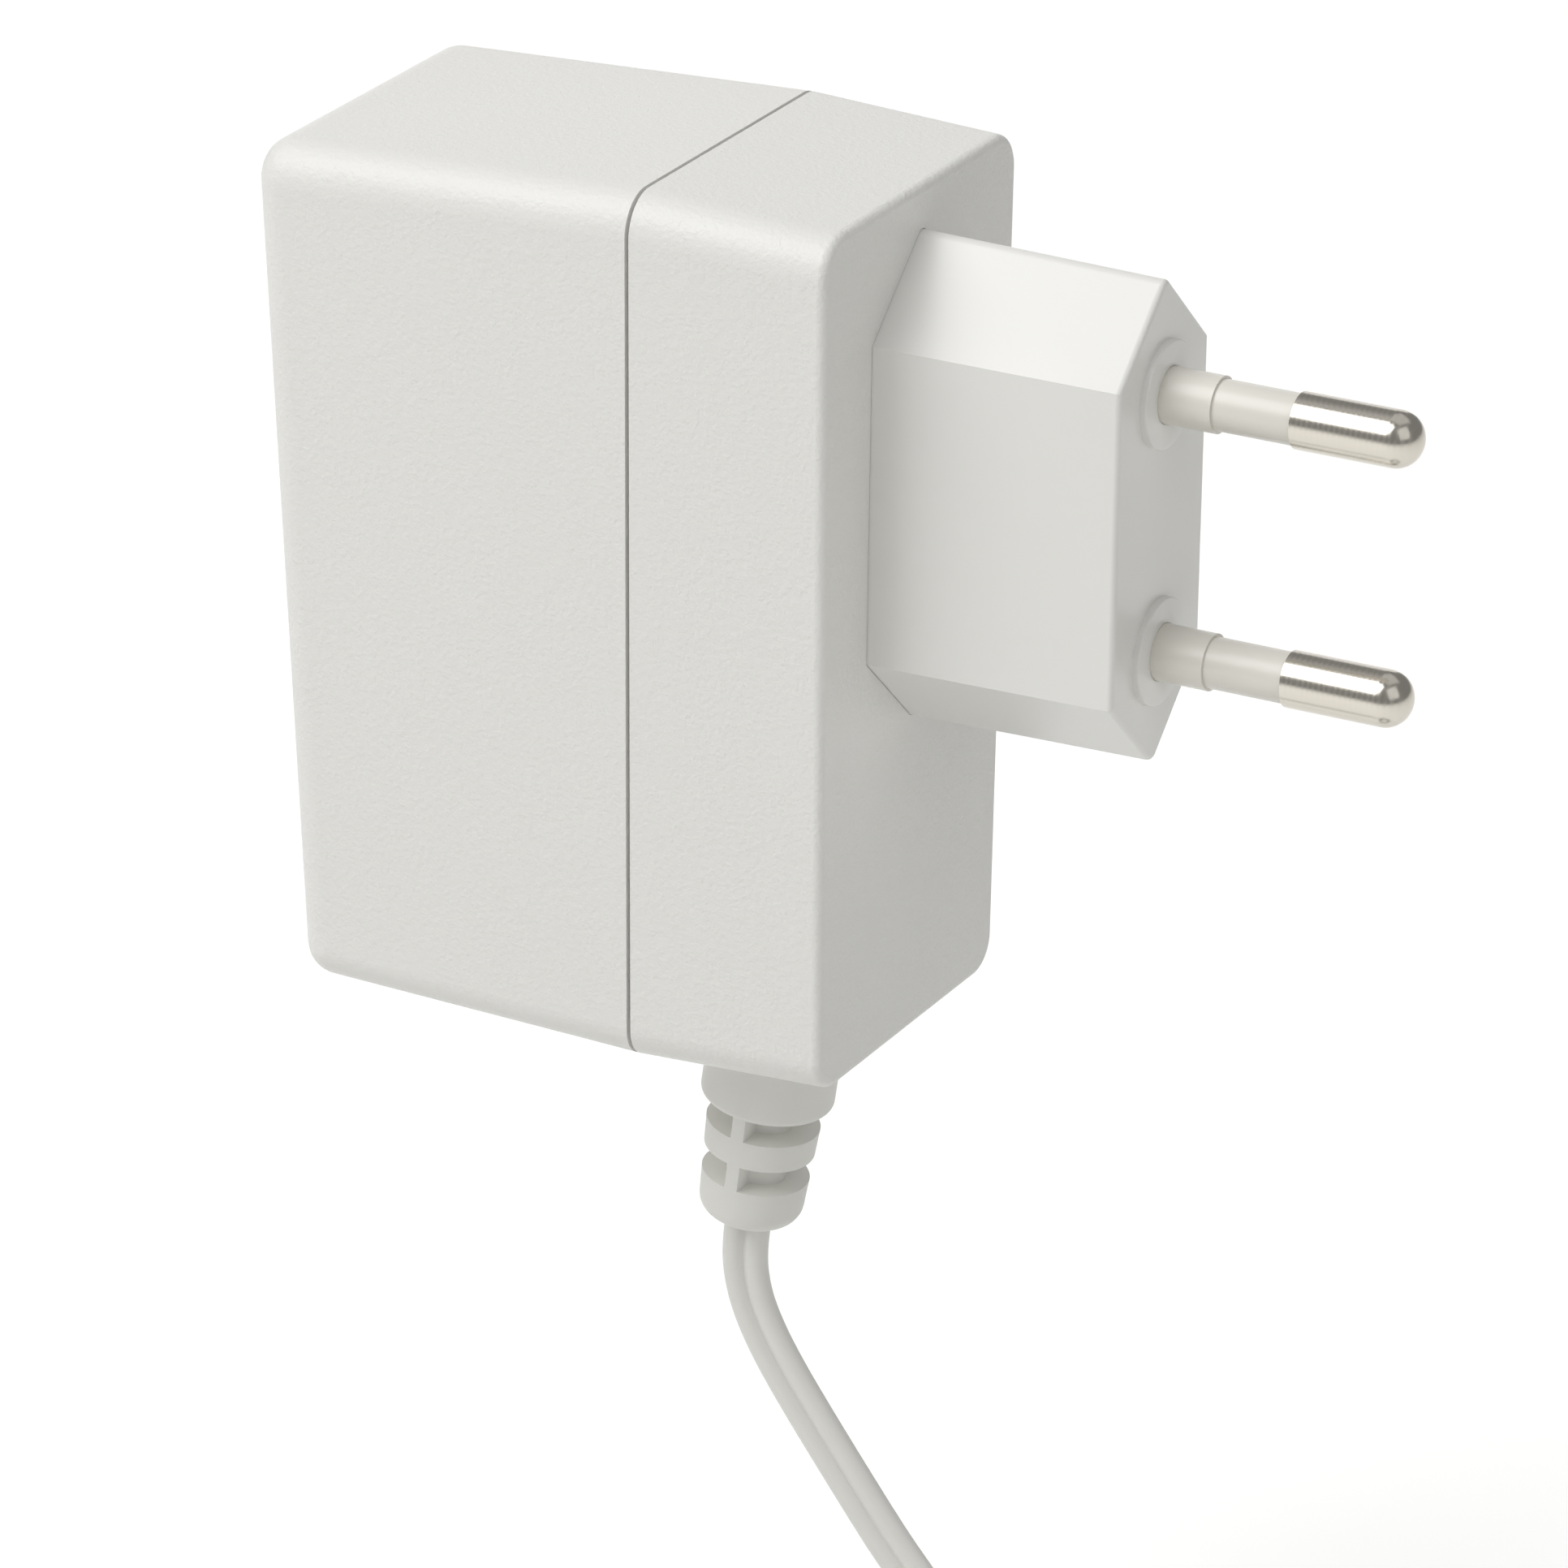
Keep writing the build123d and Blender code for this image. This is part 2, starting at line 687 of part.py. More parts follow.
with BuildPart() as cord_tail:
    add(cord_in_relief.part)
    add(wire(outer_wire_points, route_radii(outer_wire_points), split_wire_diameter))
    add(wire(inner_wire_points, route_radii(inner_wire_points), split_wire_diameter))
cord_tail.part.label = "cord_tail"
export_step(cord_tail.part, "parts/cord_tail.step")

# Strain relief: soft, moulded round the cord, with a collar, two rows of slots and a flange inside the base
axis_scale = Vector(relief_lean, 0, 1).length
relief_length = relief_drop * axis_scale
collar_start = (relief_drop - collar_relief_drop) * axis_scale
relief_profile = Plane(origin=tail_points[0], x_dir=(1, 0, -relief_lean), z_dir=(0, -1, 0))
relief_revolve_axis = Axis(tail_points[0], relief_axis)
slot_radius = relief_lower_diameter / 2 - relief_slot_depth

with BuildPart() as relief_slots:
    with BuildSketch(relief_profile):
        for slot_end, slot_start in slot_shares:
            with Locations((slot_radius, collar_start * (1 - slot_end))):
                Rectangle(
                    collar_relief_diameter / 2 - slot_radius,
                    collar_start * (slot_end - slot_start),
                    align=(Align.MIN, Align.MIN),
                )
    revolve(axis=relief_revolve_axis)
    with BuildSketch(relief_profile):
        with Locations((0, relief_length / 2)):
            Rectangle(relief_web, 2 * relief_length)
    extrude(amount=collar_relief_diameter, both=True, mode=Mode.SUBTRACT)

with BuildPart() as strain_relief:
    with BuildSketch(relief_profile) as relief_outline:
        Polygon(
            (0, 0),
            (relief_lower_diameter / 2, 0),
            (relief_upper_diameter / 2, collar_start),
            (collar_relief_diameter / 2, collar_start),
            (collar_relief_diameter / 2, relief_length + 2),
            (0, relief_length + 2),
            align=None,
        )
        fillet(relief_outline.vertices().group_by(Axis.Y)[0].sort_by(Axis.X)[-1], relief_end_radius)
        fillet(relief_outline.vertices().group_by(Axis.X)[-1].sort_by(Axis.Y)[0], relief_collar_radius)
    revolve(axis=relief_revolve_axis)
    split(bisect_by=Plane.XY.offset(relief_top), keep=Keep.BOTTOM)
    with BuildSketch(Plane.XY.offset(relief_top)):
        with Locations((relief_x, 0)):
            Circle(neck_diameter / 2)
    extrude(amount=seat_level - relief_top)
    with BuildSketch(Plane.XY.offset(seat_level)):
        with Locations((relief_x, 0)):
            Circle(seat_diameter / 2)
    extrude(amount=seat_thickness)
    add(relief_slots.part, mode=Mode.SUBTRACT)
    add(cord_in_relief.part, mode=Mode.SUBTRACT)
strain_relief.part.label = "strain_relief"
export_step(strain_relief.part, "parts/strain_relief.step")

# Cord run: the hanging stretch, from the strain relief down to the top row of the coil
first_drop = 2.62
cord_points = [
    (relief_end_x, 0, relief_end),
    (relief_end_x - relief_lean * first_drop, 0, relief_end - first_drop),
    (relief_end_x - 0.15, 0, relief_end - 5.27),
    (relief_end_x + 0.68, 0, relief_end - 7.89),
    (relief_end_x + 2.74, 0, relief_end - 11.55),
    (-22.98, 0, -77.14),
    (-17.5, 0, -84.28),
    (-11.03, 0, -90.53),
    (-3.66, 0, -94.96),
    (4.7, 0, top_row),
    (lead_in_x, 0, top_row),
]
cord_radii = route_radii(cord_points)
print("cord_run radii", [round(radius, 1) for radius in cord_radii])

with BuildPart() as cord_run:
    with BuildLine() as cord_route:
        FilletPolyline(*cord_points, radius=cord_radii)
    cord_start = Plane(origin=cord_points[0], x_dir=(1, 0, -relief_lean), z_dir=-relief_axis)
    with BuildSketch(cord_start) as cord_section:
        SlotOverall(cord_width, wire_diameter)
    sweep()
cord_run.part.label = "cord_run"
export_step(cord_run.part, "parts/cord_run.step")
section_area = cord_section.sketch.area
run_length = cord_route.wires()[0].length
print("cord_run length", round(run_length, 1), "volume", round(cord_run.part.volume, 1))
print("cord_run section times length", round(section_area * run_length, 1))

# Cord tie: a closed strap round one side of the coil, pulled into it
tie_outward = Vector(1, 0, 0).rotate(Axis.Z, tie_angle)
tie_along = Vector(0, 1, 0).rotate(Axis.Z, tie_angle)
tie_centre = Vector(coil_x, coil_y, floor_level) + tie_outward * coil_mean_radius
tie_plane = Plane(origin=tie_centre, x_dir=tie_outward, z_dir=-tie_along)
coil_width = coil_outer_radius - coil_inner_radius
tie_inner_width = coil_width - 2 * tie_thickness
tie_inner_height = coil_height - 2 * tie_thickness

with BuildPart() as tie_opening:
    with BuildSketch(tie_plane):
        with Locations((0, coil_height / 2)):
            RectangleRounded(tie_inner_width, tie_inner_height, tie_inner_radius)
    extrude(amount=tie_width / 2, both=True)

with BuildPart() as cord_tie:
    with BuildSketch(tie_plane):
        RectangleRounded(
            coil_width + 2 * tie_proud,
            coil_height + tie_proud,
            tie_outer_radius,
            align=(Align.CENTER, Align.MIN),
        )
    extrude(amount=tie_width / 2, both=True)
    add(tie_opening.part, mode=Mode.SUBTRACT)
cord_tie.part.label = "cord_tie"
export_step(cord_tie.part, "parts/cord_tie.step")

# Cord coil: the outer shape of the wound cord, with the ends that lead in on top and out along the surface
with BuildPart() as tie_groove:
    with BuildSketch(tie_plane):
        with Locations((0, coil_height / 2)):
            Rectangle(coil_width + 4, coil_height + 4)
    extrude(amount=tie_width / 2, both=True)
    add(tie_opening.part, mode=Mode.SUBTRACT)

with BuildPart() as cord_coil:
    with BuildSketch(Plane.XZ.offset(-coil_y)):
        with Locations((coil_x + coil_mean_radius, floor_level + coil_height / 2)):
            RectangleRounded(coil_width, coil_height, wire_diameter)
    revolve(axis=Axis((coil_x, coil_y, 0), (0, 0, 1)))
    with BuildSketch(Plane.YZ.offset(lead_in_x)):
        with Locations((0, top_row)):
            SlotOverall(cord_width, wire_diameter, rotation=90)
    extrude(amount=lead_in_reach - lead_overlap)
    with BuildSketch(Plane.YZ.offset(lead_out_x)):
        with Locations((exit_y, bottom_row)):
            SlotOverall(cord_width, wire_diameter, rotation=90)
    extrude(amount=lead_out_reach - lead_overlap)
    add(tie_groove.part, mode=Mode.SUBTRACT)
cord_coil.part.label = "cord_coil"
export_step(cord_coil.part, "parts/cord_coil.step")

# Cord end: the short stretch from the coil to the low-voltage plug
end_points = [
    (lead_out_x, exit_y, bottom_row),
    (5.8, exit_y, bottom_row),
    (-7.2, plug_y, plug_level),
    (plug_tail_x, plug_y, plug_level),
]
end_radii = route_radii(end_points)
print("cord_end radii", [round(radius, 1) for radius in end_radii])

with BuildPart() as cord_end:
    with BuildLine() as end_route:
        FilletPolyline(*end_points, radius=end_radii)
    with BuildSketch(Plane(origin=end_points[0], x_dir=(0, 0, 1), z_dir=(-1, 0, 0))):
        SlotOverall(cord_width, wire_diameter)
    sweep()
cord_end.part.label = "cord_end"
export_step(cord_end.part, "parts/cord_end.step")
end_length = end_route.wires()[0].length
print("cord_end length", round(end_length, 1), "volume", round(cord_end.part.volume, 1))
print("cord_end section times length", round(section_area * end_length, 1))

# Low-voltage plug: moulded grip, outer and inner contact tubes and the insulator between them
grip_back = plug_tail_x - plug_tail_length
grip_front = grip_back - plug_grip_length
contact_root = grip_front + plug_embed
barrel_end = grip_front - plug_barrel_length
plug_profile = Plane(origin=(0, plug_y, plug_level), x_dir=(1, 0, 0), z_dir=(0, -1, 0))
plug_axis = Axis((0, plug_y, plug_level), (1, 0, 0))

with BuildPart() as plug_grip:
    with BuildSketch(plug_profile) as grip_outline:
        Polygon(
            (plug_tail_x, 0),
            (plug_tail_x, plug_tail_diameter / 2),
            (grip_back, plug_tail_diameter / 2 + plug_tail_growth),
            (grip_back, plug_grip_diameter / 2),
            (grip_front, plug_grip_diameter / 2),
            (grip_front, 0),
            align=None,
        )
        fillet(grip_outline.vertices().group_by(Axis.Y)[-1], plug_edge_radius)
    revolve(axis=plug_axis)
    with BuildSketch(plug_profile):
        for groove in (1, 2, 3):
            from_tail = groove * tail_groove_pitch
            tail_radius = plug_tail_diameter / 2 + plug_tail_growth * from_tail / plug_tail_length
            with Locations((plug_tail_x - from_tail, tail_radius - tail_groove_depth)):
                Rectangle(tail_groove_width, 2 * tail_groove_depth, align=(Align.CENTER, Align.MIN))
    revolve(axis=plug_axis, mode=Mode.SUBTRACT)
    with BuildSketch(Plane.YZ.offset(grip_front)):
        with Locations((plug_y, plug_level)):
            Circle(plug_root_diameter / 2)
    extrude(amount=plug_embed, mode=Mode.SUBTRACT)
plug_grip.part.label = "plug_grip"
export_step(plug_grip.part, "parts/plug_grip.step")

with BuildPart() as plug_barrel:
    with BuildSketch(Plane.YZ.offset(barrel_end)):
        with Locations((plug_y, plug_level)):
            Circle(plug_barrel_diameter / 2)
    extrude(amount=plug_barrel_length)
    with BuildSketch(Plane.YZ.offset(grip_front)):
        with Locations((plug_y, plug_level)):
            Circle(plug_root_diameter / 2)
    extrude(amount=plug_embed)
    with BuildSketch(Plane.YZ.offset(barrel_end)):
        with Locations((plug_y, plug_level)):
            Circle(plug_barrel_bore / 2)
    extrude(amount=plug_barrel_length + plug_embed, mode=Mode.SUBTRACT)
plug_barrel.part.label = "plug_barrel"
export_step(plug_barrel.part, "parts/plug_barrel.step")

plug_tubes = (
    ("plug_insulator", barrel_end + insulator_recess, plug_barrel_bore, plug_contact_diameter),
    ("plug_contact", barrel_end + contact_recess, plug_contact_diameter, plug_contact_bore),
)
for tube_name, tube_end, outer_diameter, bore_diameter in plug_tubes:
    with BuildPart() as tube:
        with BuildSketch(Plane.YZ.offset(tube_end)):
            with Locations((plug_y, plug_level)):
                Circle(outer_diameter / 2)
                Circle(bore_diameter / 2, mode=Mode.SUBTRACT)
        extrude(amount=contact_root - tube_end)
    tube.part.label = tube_name
    export_step(tube.part, f"parts/{tube_name}.step")
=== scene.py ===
from math import asin, cos, pi, radians, sin

import bmesh
import bpy
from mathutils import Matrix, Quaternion, Vector


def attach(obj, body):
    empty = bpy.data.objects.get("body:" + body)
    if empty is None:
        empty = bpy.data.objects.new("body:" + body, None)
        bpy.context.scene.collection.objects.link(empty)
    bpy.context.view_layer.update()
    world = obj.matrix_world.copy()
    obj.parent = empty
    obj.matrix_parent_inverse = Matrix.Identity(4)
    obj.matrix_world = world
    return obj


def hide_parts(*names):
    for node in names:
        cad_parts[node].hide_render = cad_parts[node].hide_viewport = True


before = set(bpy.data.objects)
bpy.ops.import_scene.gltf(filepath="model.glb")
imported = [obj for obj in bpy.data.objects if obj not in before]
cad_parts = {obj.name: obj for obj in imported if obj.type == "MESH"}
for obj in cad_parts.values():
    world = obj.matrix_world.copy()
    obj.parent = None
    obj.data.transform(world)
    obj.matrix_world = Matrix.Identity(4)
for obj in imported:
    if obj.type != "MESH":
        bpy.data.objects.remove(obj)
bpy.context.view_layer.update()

# Transformer core
# Stacks of E and I laminations, stamped from 0.5 mm silicon steel and blue-grey from the anneal. They are
# pushed into the bobbin from both sides, so each sheet sits a few hundredths of a millimetre off the next.
core_half_height = 0.0175
core_back = -0.058197
core_front = -0.02903
window_back = -0.052363
window_front = -0.034863
centre_leg_half = 0.005833
outer_leg_inner = 0.011667
bolt_hole_radius = 0.0015
bolt_hole_inset = 0.002917
sheet_count = 21
sheet_pitch = 0.0005
sheet_thickness = 0.00047
sheet_play = 0.00003
stack_start = -0.00525
bolt_hole_steps = 16
steel_colour = "#5B6068"
steel_light_colour = "#858A91"
anneal_patch = 0.00111
anneal_relief = 0.00001
weld_distance = 0.000001


def linear(hex_colour):
    """Linear RGBA colour of an sRGB hex value."""
    channels = [int(hex_colour[i:i + 2], 16) / 255 for i in (1, 3, 5)]
    return [c / 12.92 if c <= 0.04045 else ((c + 0.055) / 1.055) ** 2.4 for c in channels] + [1.0]


def add_node(tree, kind, settings=None, links=None):
    """New node: its settings are properties or input values, its links the sockets that feed its inputs."""
    node = tree.nodes.new(kind)
    for name, value in (settings or {}).items():
        if isinstance(name, str) and hasattr(node, name):
            setattr(node, name, value)
        else:
            node.inputs[name].default_value = value
    for name, socket in (links or {}).items():
        tree.links.new(socket, node.inputs[name])
    return node


def start_material(name):
    """Empty node material; returns it, its tree, its Principled shader and its object coordinates."""
    material = bpy.data.materials.new(name)
    material.use_nodes = True
    tree = material.node_tree
    shader = tree.nodes["Principled BSDF"]
    place = add_node(tree, "ShaderNodeTexCoord").outputs["Object"]
    return material, tree, shader, place


def link_range(tree, source, low, high, target):
    """Feeds a target socket from a 0 to 1 source, spread over low to high."""
    spread = add_node(tree, "ShaderNodeMapRange", {"To Min": low, "To Max": high}, {"Value": source})
    tree.links.new(spread.outputs["Result"], target)


def laminated_steel():
    """Each sheet has a slightly different grey, and scale from the anneal clouds its gloss."""
    material, tree, shader, place = start_material("annealed_silicon_steel")
    split = add_node(tree, "ShaderNodeSeparateXYZ", links={"Vector": place})
    depth = add_node(
        tree, "ShaderNodeMath", {"operation": "SUBTRACT", 1: stack_start}, {0: split.outputs["Y"]}
    )
    count = add_node(tree, "ShaderNodeMath", {"operation": "DIVIDE", 1: sheet_pitch}, {0: depth.outputs[0]})
    sheet = add_node(tree, "ShaderNodeMath", {"operation": "FLOOR"}, {0: count.outputs[0]})
    shade = add_node(tree, "ShaderNodeTexWhiteNoise", {"noise_dimensions": "1D"}, {"W": sheet.outputs[0]})
    colour = add_node(
        tree,
        "ShaderNodeMix",
        {"data_type": "RGBA", 6: linear(steel_colour), 7: linear(steel_light_colour)},
        {0: shade.outputs["Value"]},
    )
    tree.links.new(colour.outputs[2], shader.inputs["Base Color"])
    scale = add_node(
        tree, "ShaderNodeTexNoise", {"Scale": 1 / anneal_patch, "Detail": 4.0}, {"Vector": place}
    )
    link_range(tree, scale.outputs["Fac"], 0.36, 0.6, shader.inputs["Roughness"])
    bump = add_node(
        tree,
        "ShaderNodeBump",
        {"Strength": 0.4, "Distance": anneal_relief},
        {"Height": scale.outputs["Fac"]},
    )
    tree.links.new(bump.outputs["Normal"], shader.inputs["Normal"])
    shader.inputs["Metallic"].default_value = 0.8
    return material


def circle_loop(centre, radius, steps):
    """Corners of a circle in its own plane."""
    angles = [2 * pi * step / steps for step in range(steps)]
    return [(centre[0] + radius * cos(angle), centre[1] + radius * sin(angle)) for angle in angles]


def outline_mesh(name, loops):
    """Closed loops of edges in the XY plane, for a geometry tree to fill."""
    points, edges = [], []
    for loop in loops:
        first = len(points)
        points += [(across, up, 0) for across, up in loop]
        edges += [(first + step, first + (step + 1) % len(loop)) for step in range(len(loop))]
    mesh = bpy.data.meshes.new(name)
    mesh.from_pydata(points, edges, [])
    return mesh


def geometry_tree(name, sizes):
    """Geometry tree with these named inputs; returns it and the sockets at its two ends."""
    tree = bpy.data.node_groups.new(name, "GeometryNodeTree")
    tree.interface.new_socket("Geometry", in_out="INPUT", socket_type="NodeSocketGeometry")
    for label, kind in sizes.items():
        tree.interface.new_socket(label, in_out="INPUT", socket_type="NodeSocket" + kind)
    tree.interface.new_socket("Geometry", in_out="OUTPUT", socket_type="NodeSocketGeometry")
    return tree, tree.nodes.new("NodeGroupInput").outputs, tree.nodes.new("NodeGroupOutput").inputs


def filled_plate(tree, outline, thickness):
    """Closed plate of this thickness over loops of edges, with the inner loops as holes."""
    loops = add_node(tree, "GeometryNodeMeshToCurve", links={"Mesh": outline})
    face = add_node(tree, "GeometryNodeFillCurve", {"mode": "NGONS"}, {"Curve": loops.outputs[0]})
    raised = add_node(
        tree,
        "GeometryNodeExtrudeMesh",
        {"Individual": False},
        {"Mesh": face.outputs[0], "Offset Scale": thickness},
    )
    under = add_node(tree, "GeometryNodeFlipFaces", links={"Mesh": face.outputs[0]})
    whole = add_node(tree, "GeometryNodeJoinGeometry", links={"Geometry": raised.outputs[0]})
    tree.links.new(under.outputs[0], whole.inputs[0])
    welded = add_node(
        tree, "GeometryNodeMergeByDistance", {"Distance": weld_distance}, {"Geometry": whole.outputs[0]}
    )
    return welded.outputs[0]


def close_tree(tree, geometry, material, end):
    """Turns what is repeated into real mesh, and gives it its material."""
    real = add_node(tree, "GeometryNodeRealizeInstances", links={"Geometry": geometry})
    dressed = add_node(
        tree, "GeometryNodeSetMaterial", links={"Geometry": real.outputs[0], "Material": material}
    )
    tree.links.new(dressed.outputs[0], end)


def grown(name, mesh, tree, values, nodes):
    """Puts a mesh through a geometry tree and keeps the result as a plain mesh in place of CAD nodes."""
    piece = bpy.data.objects.new(name, mesh)
    bpy.context.scene.collection.objects.link(piece)
    modifier = piece.modifiers.new(tree.name, "NODES")
    modifier.node_group = tree
    for item in tree.interface.items_tree:
        if item.name in values:
            modifier[item.identifier] = values[item.name]
    result = bpy.data.meshes.new_from_object(piece.evaluated_get(bpy.context.evaluated_depsgraph_get()))
    piece.modifiers.clear()
    piece.data = result
    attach(piece, "root")
    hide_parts(*nodes)
    return piece


def sheet_stack():
    """Tree that stamps one sheet from its outline and stacks it along Y, each a little out of line."""
    sizes = {"Thickness": "Float", "Sheets": "Int", "Pitch": "Float", "Start": "Float", "Play": "Float"}
    tree, given, end = geometry_tree("sheet_stack", {**sizes, "Seed": "Int", "Material": "Material"})
    sheet = filled_plate(tree, given["Geometry"], given["Thickness"])
    upright = add_node(tree, "GeometryNodeTransform", {"Rotation": (pi / 2, 0, 0)}, {"Geometry": sheet})
    first = add_node(tree, "ShaderNodeCombineXYZ", links={"Y": given["Start"]})
    step = add_node(tree, "ShaderNodeCombineXYZ", links={"Y": given["Pitch"]})
    row = add_node(
        tree,
        "GeometryNodeMeshLine",
        links={"Count": given["Sheets"], "Start Location": first.outputs[0], "Offset": step.outputs[0]},
    )
    wander = add_node(
        tree,
        "FunctionNodeRandomValue",
        {"data_type": "FLOAT_VECTOR", 0: (-1, 0, -1), 1: (1, 0, 1)},
        {"Seed": given["Seed"]},
    )
    shift = add_node(
        tree, "ShaderNodeVectorMath", {"operation": "SCALE"}, {0: wander.outputs[0], "Scale": given["Play"]}
    )
    placed = add_node(
        tree, "GeometryNodeSetPosition", links={"Geometry": row.outputs[0], "Offset": shift.outputs[0]}
    )
    stack = add_node(
        tree,
        "GeometryNodeInstanceOnPoints",
        links={"Points": placed.outputs[0], "Instance": upright.outputs[0]},
    )
    close_tree(tree, stack.outputs[0], given["Material"], end[0])
    return tree


steel = laminated_steel()
stack_tree = sheet_stack()
e_outline = [
    (core_back, -core_half_height), (window_front, -core_half_height),
    (window_front, -outer_leg_inner), (window_back, -outer_leg_inner),
    (window_back, -centre_leg_half), (window_front, -centre_leg_half),
    (window_front, centre_leg_half), (window_back, centre_leg_half),
    (window_back, outer_leg_inner), (window_front, outer_leg_inner),
    (window_front, core_half_height), (core_back, core_half_height),
]
i_outline = [
    (window_front, -core_half_height), (core_front, -core_half_height),
    (core_front, core_half_height), (window_front, core_half_height),
]
core_stacks = (
    ("e_laminations", "core_e_plates", e_outline, core_back + bolt_hole_inset, 3),
    ("i_laminations", "core_i_plates", i_outline, core_front - bolt_hole_inset, 8),
)
for stack_name, stack_node, outline, hole_x, stack_seed in core_stacks:
    hole_z = core_half_height - bolt_hole_inset
    holes = [circle_loop((hole_x, level), bolt_hole_radius, bolt_hole_steps) for level in (hole_z, -hole_z)]
    grown(
        stack_name,
        outline_mesh(stack_name, [outline, *holes]),
        stack_tree,
        {
            "Thickness": sheet_thickness,
            "Sheets": sheet_count,
            "Pitch": sheet_pitch,
            "Start": stack_start + (sheet_pitch + sheet_thickness) / 2,
            "Play": sheet_play,
            "Seed": stack_seed,
            "Material": steel,
        },
        [stack_node],
    )

# Bobbin
# One moulding of natural polyamide with three flanges, which keep mains and output windings apart, and two
# ledges for its pins. Its surface is even and a little waxy.
gloss_drift = 0.0111


def dress(material, *nodes):
    """Gives CAD nodes their finish."""
    for node in nodes:
        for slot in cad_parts[node].material_slots:
            slot.material = material


def moulded_plastic(name, colour, roughness, grain, height, ior=1.53, unevenness=0.05):
    """Moulded plastic: even colour, a tool texture of this grain and height, and slightly uneven gloss."""
    material, tree, shader, place = start_material(name)
    shader.inputs["Base Color"].default_value = linear(colour)
    shader.inputs["IOR"].default_value = ior
    flow = add_node(tree, "ShaderNodeTexNoise", {"Scale": 1 / gloss_drift, "Detail": 5.0}, {"Vector": place})
    link_range(
        tree, flow.outputs["Fac"], roughness - unevenness, roughness + unevenness, shader.inputs["Roughness"]
    )
    texture = add_node(
        tree, "ShaderNodeTexNoise", {"Scale": 1 / grain, "Detail": 2.0, "Roughness": 0.6}, {"Vector": place}
    )
    bump = add_node(
        tree, "ShaderNodeBump", {"Strength": 1.0, "Distance": height}, {"Height": texture.outputs["Fac"]}
    )
    tree.links.new(bump.outputs["Normal"], shader.inputs["Normal"])
    return material


polyamide = moulded_plastic("natural_polyamide", "#D9D2BC", roughness=0.42, grain=0.0004, height=0.000004)
dress(polyamide, "bobbin")

# Windings and their tape
# Solderable enamelled copper in close turns between the bobbin's flanges, thicker on the output side. The
# mains wire is 0.1 mm in the real one and drawn 0.2 mm thick to show. Yellow polyester tape covers both.
winding_half_width = 0.0104
winding_half_height = 0.011267
winding_radius = 0.0025
bobbin_tube_half_width = 0.00615
bobbin_tube_half_height = 0.006733
primary_back = -0.044163
primary_length = 0.0082
primary_turns = 41
primary_wire = 0.0002
secondary_back = -0.051463
secondary_length = 0.0064
secondary_turns = 12
secondary_wire = 0.0005
turn_play = 0.002
top_layer_share = 0.6
wire_sides = 8
corner_steps = 6
enamel_pool = 0.00385
tape_crease = 0.00238
tape_relief = 0.00005


def enamelled_copper(name, colour, shade):
    """Drawn copper under a clear coat of enamel, which pools a little darker between the turns."""
    material, tree, shader, place = start_material(name)
    shader.inputs["Metallic"].default_value = 1.0
    shader.inputs["Coat Weight"].default_value = 0.7
    shader.inputs["Coat Roughness"].default_value = 0.12
    pools = add_node(
        tree, "ShaderNodeTexNoise", {"Scale": 1 / enamel_pool, "Detail": 3.0}, {"Vector": place}
    )
    tint = add_node(
        tree,
        "ShaderNodeMix",
        {"data_type": "RGBA", 6: linear(shade), 7: linear(colour)},
        {0: pools.outputs["Fac"]},
    )
    tree.links.new(tint.outputs[2], shader.inputs["Base Color"])
    link_range(tree, pools.outputs["Fac"], 0.29, 0.4, shader.inputs["Roughness"])
    return material


def rounded_loop(half_width, half_height, radius, steps):
    """Corners of a rounded rectangle in its own plane."""
    loop = []
    for quarter, (side, level) in enumerate(((1, 1), (-1, 1), (-1, -1), (1, -1))):
        for step in range(steps + 1):
            angle = pi / 2 * (quarter + step / steps)
            centre = (side * (half_width - radius), level * (half_height - radius))
            loop.append((centre[0] + radius * cos(angle), centre[1] + radius * sin(angle)))
    return loop


